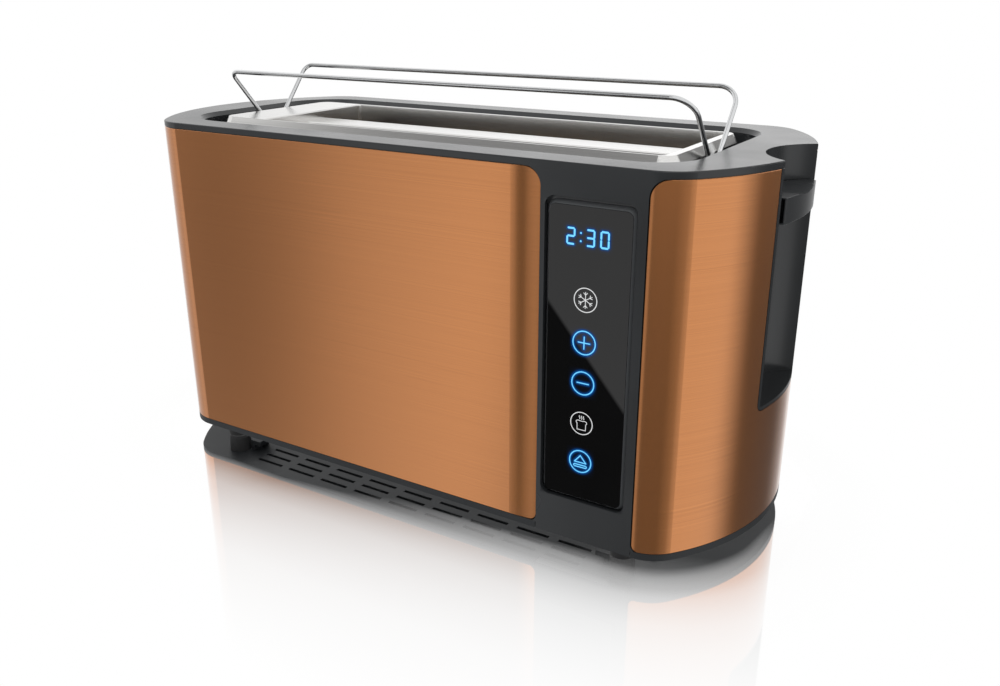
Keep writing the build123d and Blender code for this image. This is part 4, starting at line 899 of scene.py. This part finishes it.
# Stops on the floor go outwards from the toaster, in shares of the reach
MIRROR_STOPS = (
    (0.0, 2.7),
    (0.04, 1.9),
    (0.09, 1.75),
    (0.13, 1.3),
    (0.19, 0.95),
    (0.24, 0.72),
    (0.34, 0.52),
    (0.49, 0.25),
    (0.79, 0.0),
)
WHITE_STOPS = ((0.0, 0.5), (0.04, 0.54), (0.08, 0.82), (0.14, 0.94), (0.34, 1.0))
# Stops on the wall go round it, in degrees from the front
FRONT_STOPS = (
    (-180, 1.0),
    (-120, 0.95),
    (-100, 0.7),
    (-66, 0.66),
    (-60, 0.86),
    (-55, 0.52),
    (-51.5, 0.33),
    (-49.8, 0.2),
    (-48, 0.24),
    (-45, 0.4),
    (-43.5, 0.47),
    (-41.5, 0.7),
    (-40, 0.79),
    (-36.5, 0.9),
    (-30, 1.08),
    (-29, 0.72),
    (-27.4, 0.33),
    (-26, 0.13),
    (-21.5, 0.16),
    (-18, 0.52),
    (-12.5, 0.55),
    (-10, 0.18),
    (40, 0.18),
    (65, 0.36),
    (72, 0.6),
    (79, 0.95),
    (103, 1.0),
    (112, 0.55),
    (119, 0.15),
    (155, 0.12),
    (172, 0.5),
    (180, 1.0),
)
TOP_STOPS = (
    (-180, 1.3),
    (-158, 1.3),
    (-140, 1.1),
    (-131, 0.88),
    (-120, 0.9),
    (-80, 1.0),
    (-60, 0.6),
    (-15, 0.6),
    (0, 1.0),
    (160, 1.0),
    (180, 1.3),
)
WALL_RADIUS = 12.0
WALL_HEIGHT = 36.0
WALL_STEPS = 180
TOP_BAND = (-0.01, 0.02)
WHITE_BAND = (0.24, 0.3)
DIM_ANGLES = (-55.5, -53.5, -22.0, -16.0)
FLAG_ANGLES = (140.0, 147.0, 172.0, 177.0)
FLAG_SLOPES = (0.07, 0.12, 0.34, 0.42)
DIM_LEVEL = 0.25
DIAGONAL = (0.1405, 0.086)
CARD_REACH = 0.003
CARD_LOW = 0.07
CARD_HIGH = 0.9
CARD_FADE = 0.0015
CARD_ROWS = 4
AMBIENT_LEVEL = 0.55
LAMP_TARGET = (0, 0, 0.1)
KEY_PLACE, KEY_SIZE = (0.1, -0.5, 1.5), (1.4, 1.2)
FILL_PLACE, FILL_SIZE = (-1.3, -0.9, 0.9), (1.0, 1.0)
SENSOR_WIDTH = 36.0
CLIP_START = 0.01


def stage_plane(name, reach, height, material):
    """A level square of the studio that faces up."""
    corners = [(-reach, -reach), (reach, -reach), (reach, reach), (-reach, reach)]
    piece = mesh_piece(name, [(x, y, height) for x, y in corners], [(0, 1, 2, 3)], material)
    return piece


def floor_distance(tree):
    """Distance on the floor from the toaster's outline, taken as a rounded rectangle."""
    half_length, half_depth = CAD_BOX[1][:2]
    inner = (half_length - FLOOR_ROUND, half_depth - FLOOR_ROUND, 0.0)
    flat = vector_node(tree, "MULTIPLY", object_place(tree), (1.0, 1.0, 0.0))
    beyond = vector_node(tree, "SUBTRACT", vector_node(tree, "ABSOLUTE", flat), inner)
    outside = vector_node(tree, "MAXIMUM", beyond, (0.0, 0.0, 0.0))
    return math_node(tree, "SUBTRACT", vector_node(tree, "LENGTH", outside), FLOOR_ROUND)


def blend_shaders(tree, factor, first, second):
    """A shader between two by a factor socket."""
    mix = tree.nodes.new("ShaderNodeMixShader")
    for index, socket in enumerate((factor, first, second)):
        join(tree, socket, mix.inputs[index])
    return mix.outputs[0]


def floor_material(colour, mirror):
    """A pale floor that mirrors close to the toaster, is white further out and clear from below."""
    material, tree, surface = bare_material("Pale floor")
    distance = math_node(tree, "ADD", floor_distance(tree), FLOOR_INSET)
    share = math_node(tree, "DIVIDE", distance, FLOOR_REACH)
    facing = add_node(tree, "ShaderNodeLayerWeight", Blend=0.5).outputs["Facing"]
    polish = math_node(tree, "MULTIPLY", math_node(tree, "POWER", facing, MIRROR_POWER), mirror)
    polish = math_node(tree, "MINIMUM", polish, MIRROR_MOST)
    polish = math_node(tree, "MULTIPLY", polish, ramp_node(tree, MIRROR_STOPS, share))
    matt = add_node(tree, "ShaderNodeBsdfDiffuse", Color=with_alpha(colour))
    gloss = add_node(tree, "ShaderNodeBsdfGlossy", Color=with_alpha(WHITE), Roughness=0.04)
    white = add_node(tree, "ShaderNodeEmission", Color=with_alpha(WHITE), Strength=1.0)
    clear = tree.nodes.new("ShaderNodeBsdfTransparent")
    below = tree.nodes.new("ShaderNodeNewGeometry").outputs["Backfacing"]
    whiteness = ramp_node(tree, WHITE_STOPS, share)
    ground = blend_shaders(tree, whiteness, matt.outputs[0], white.outputs[0])
    whole = blend_shaders(tree, polish, ground, gloss.outputs[0])
    join(tree, blend_shaders(tree, below, whole, clear.outputs[0]), surface)
    return material


def wall_material(strength):
    """Flats by the angle from the front, others for what lies flat, white above, and dark flags."""
    material, tree, shader = emitting("Studio flats")
    split = tree.nodes.new("ShaderNodeSeparateXYZ")
    join(tree, object_place(tree), split.inputs[0])
    front = math_node(tree, "MULTIPLY", split.outputs["Y"], -1.0)
    angle = math_node(tree, "ARCTAN2", split.outputs["X"], front)
    share = between(tree, angle, (-pi, pi))
    slope = math_node(tree, "DIVIDE", split.outputs["Z"], WALL_RADIUS)
    upright, level = (
        ramp_node(tree, [((degrees + 180) / 360, light) for degrees, light in stops], share)
        for stops in (FRONT_STOPS, TOP_STOPS)
    )
    flats = blend_colours(tree, between(tree, slope, TOP_BAND), upright, level)
    above = between(tree, slope, WHITE_BAND)
    join(tree, blend_colours(tree, above, flats, WHITE), shader.inputs["Color"])
    degrees_round = math_node(tree, "DEGREES", angle, 0.0)
    high = math_node(tree, "MULTIPLY", above, window(tree, degrees_round, DIM_ANGLES))
    flag = window(tree, degrees_round, FLAG_ANGLES)
    flag = math_node(tree, "MULTIPLY", window(tree, slope, FLAG_SLOPES), flag)
    shade = math_node(tree, "MAXIMUM", high, flag)
    dimmed = map_range(tree, shade, (0.0, 1.0), (strength, strength * DIM_LEVEL))
    join(tree, dimmed, shader.inputs["Strength"])
    return material


def hide_but_in_reflections(piece):
    """Leaves a piece of the studio to be seen in reflections only."""
    piece.visible_camera = False
    piece.visible_diffuse = False
    piece.visible_shadow = False


def glass_card(camera_place):
    """A card close before the glass, pale above a soft sloping line and dark below it."""
    x = np.repeat([GLASS_LOW[0], GLASS_HIGH[0]], CARD_ROWS)
    sides = [(GLASS_LOW[2], z - CARD_FADE, z + CARD_FADE, GLASS_HIGH[2]) for z in DIAGONAL]
    on_glass = np.stack([x, np.full(len(x), GLASS_FRONT), np.concatenate(sides)], 1)
    behind = np.array([camera_place[0], 2 * GLASS_FRONT - camera_place[1], camera_place[2]])
    ray = on_glass - behind
    places = on_glass + ray * (CARD_REACH / np.hypot(ray[:, 0], ray[:, 1]))[:, None]
    material, tree, shader = emitting("White card")
    fade = add_node(tree, "ShaderNodeAttribute", {"attribute_name": "level"})
    join(tree, fade.outputs["Fac"], shader.inputs["Strength"])
    first = np.arange(CARD_ROWS - 1)
    faces = np.stack([first, first + CARD_ROWS, first + CARD_ROWS + 1, first + 1], 1).tolist()
    card = mesh_piece("glass_card", places, faces, material)
    point_values(card, "level", np.tile([CARD_LOW, CARD_LOW, CARD_HIGH, CARD_HIGH], 2))
    hide_but_in_reflections(card)


def studio_wall(strength):
    """A round wall of flats, seen only in reflections."""
    ring = WALL_RADIUS * circle(WALL_STEPS)
    places = [(x, y, z) for z in (-WALL_HEIGHT, WALL_HEIGHT) for x, y in ring]
    faces = loop_quads(WALL_STEPS).tolist()
    wall = mesh_piece("studio_wall", places, faces, wall_material(strength))
    hide_but_in_reflections(wall)


def studio_ceiling(strength):
    """A white flat above the wall, seen only in reflections."""
    material, _, shader = emitting("Studio ceiling")
    set_inputs(shader, Strength=strength)
    hide_but_in_reflections(stage_plane("studio_ceiling", WALL_RADIUS, WALL_HEIGHT, material))


def studio_world():
    """A white background, less bright as a light than it is seen and mirrored."""
    world = bpy.data.worlds.new("Studio white")
    world.use_nodes = True
    tree = world.node_tree
    background = set_inputs(tree.nodes["Background"], Color=with_alpha(WHITE))
    rays = tree.nodes.new("ShaderNodeLightPath").outputs
    seen = math_node(tree, "MAXIMUM", rays["Is Camera Ray"], rays["Is Transmission Ray"])
    seen = math_node(tree, "MAXIMUM", seen, rays["Is Glossy Ray"])
    level = map_range(tree, seen, (0.0, 1.0), (AMBIENT_LEVEL, 1.0))
    join(tree, level, background.inputs["Strength"])
    return world


def lamp(name, place, size, power):
    """A soft lamp that faces the toaster."""
    data = bpy.data.lights.new(name, "AREA")
    data.shape = "RECTANGLE"
    data.size, data.size_y = size
    data.energy = power
    light = bpy.data.objects.new(name, data)
    bpy.context.scene.collection.objects.link(light)
    light.location = place
    aim = Vector(LAMP_TARGET) - Vector(place)
    light.rotation_euler = aim.to_track_quat("-Z", "Y").to_euler()
    light.visible_glossy = False
    light.visible_camera = False


def photo_camera(stage):
    """The camera of the photograph."""
    data = bpy.data.cameras.new("photo_camera")
    data.sensor_fit = "HORIZONTAL"
    data.sensor_width = SENSOR_WIDTH
    data.lens = stage.lens
    data.clip_start = CLIP_START
    camera = bpy.data.objects.new("photo_camera", data)
    bpy.context.scene.collection.objects.link(camera)
    camera.location = stage.place
    camera.rotation_euler = (pi / 2 - stage.pitch, 0, stage.turn)
    return camera


class BuildStage(bpy.types.Operator):
    """Floor, studio flats, lamps, background and camera."""

    bl_idname = "toaster.build_stage"
    bl_label = "Studio"

    def execute(self, context):
        scene = context.scene
        stage = scene.toaster_stage
        scene.view_settings.view_transform = "Standard"
        scene.world = studio_world()
        ground = floor_material(tuple(stage.floor), stage.mirror)
        stage_plane("floor", FLOOR_SPAN, 0.0, ground).visible_glossy = False
        studio_wall(stage.wall)
        studio_ceiling(stage.wall)
        glass_card(stage.place)
        lamp("key_lamp", KEY_PLACE, KEY_SIZE, stage.key)
        lamp("fill_lamp", FILL_PLACE, FILL_SIZE, stage.fill)
        scene.camera = photo_camera(stage)
        return {"FINISHED"}


# Add-on
OPERATORS = (
    DressBody,
    DressMouldings,
    DressBrightMetal,
    DressInside,
    DressGlass,
    BuildClock,
    BuildSymbols,
    BuildStage,
)
GROUPS = {
    "toaster_finish": ToasterFinish,
    "toaster_panel": ToasterPanel,
    "toaster_stage": ToasterStage,
}


class ToasterSidebar(bpy.types.Panel):
    """Lists the toaster's steps and settings."""

    bl_idname = "VIEW3D_PT_toaster"
    bl_label = "Toaster"
    bl_space_type = "VIEW_3D"
    bl_region_type = "UI"
    bl_category = "Toaster"

    def draw(self, context):
        for operator in OPERATORS:
            self.layout.operator(operator.bl_idname)
        for name in GROUPS:
            group = getattr(context.scene, name)
            box = self.layout.box()
            for key in group.bl_rna.properties.keys():
                if key not in ("rna_type", "name"):
                    box.prop(group, key)


def register():
    """Makes the settings, the steps and the sidebar known to Blender."""
    for name, group in GROUPS.items():
        bpy.utils.register_class(group)
        setattr(bpy.types.Scene, name, bpy.props.PointerProperty(type=group))
    for operator in OPERATORS:
        bpy.utils.register_class(operator)
    bpy.utils.register_class(ToasterSidebar)


def unregister():
    """Takes the sidebar, the steps and the settings out again."""
    bpy.utils.unregister_class(ToasterSidebar)
    for operator in reversed(OPERATORS):
        bpy.utils.unregister_class(operator)
    for name, group in reversed(GROUPS.items()):
        delattr(bpy.types.Scene, name)
        bpy.utils.unregister_class(group)


def main():
    """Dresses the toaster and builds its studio."""
    register()
    bpy.ops.toaster.dress_body()
    bpy.ops.toaster.dress_mouldings()
    bpy.ops.toaster.dress_bright_metal()
    bpy.ops.toaster.dress_inside()
    bpy.ops.toaster.dress_glass()
    bpy.ops.toaster.build_clock()
    bpy.ops.toaster.build_symbols()
    bpy.ops.toaster.build_stage()


if __name__ == "__main__":
    main()
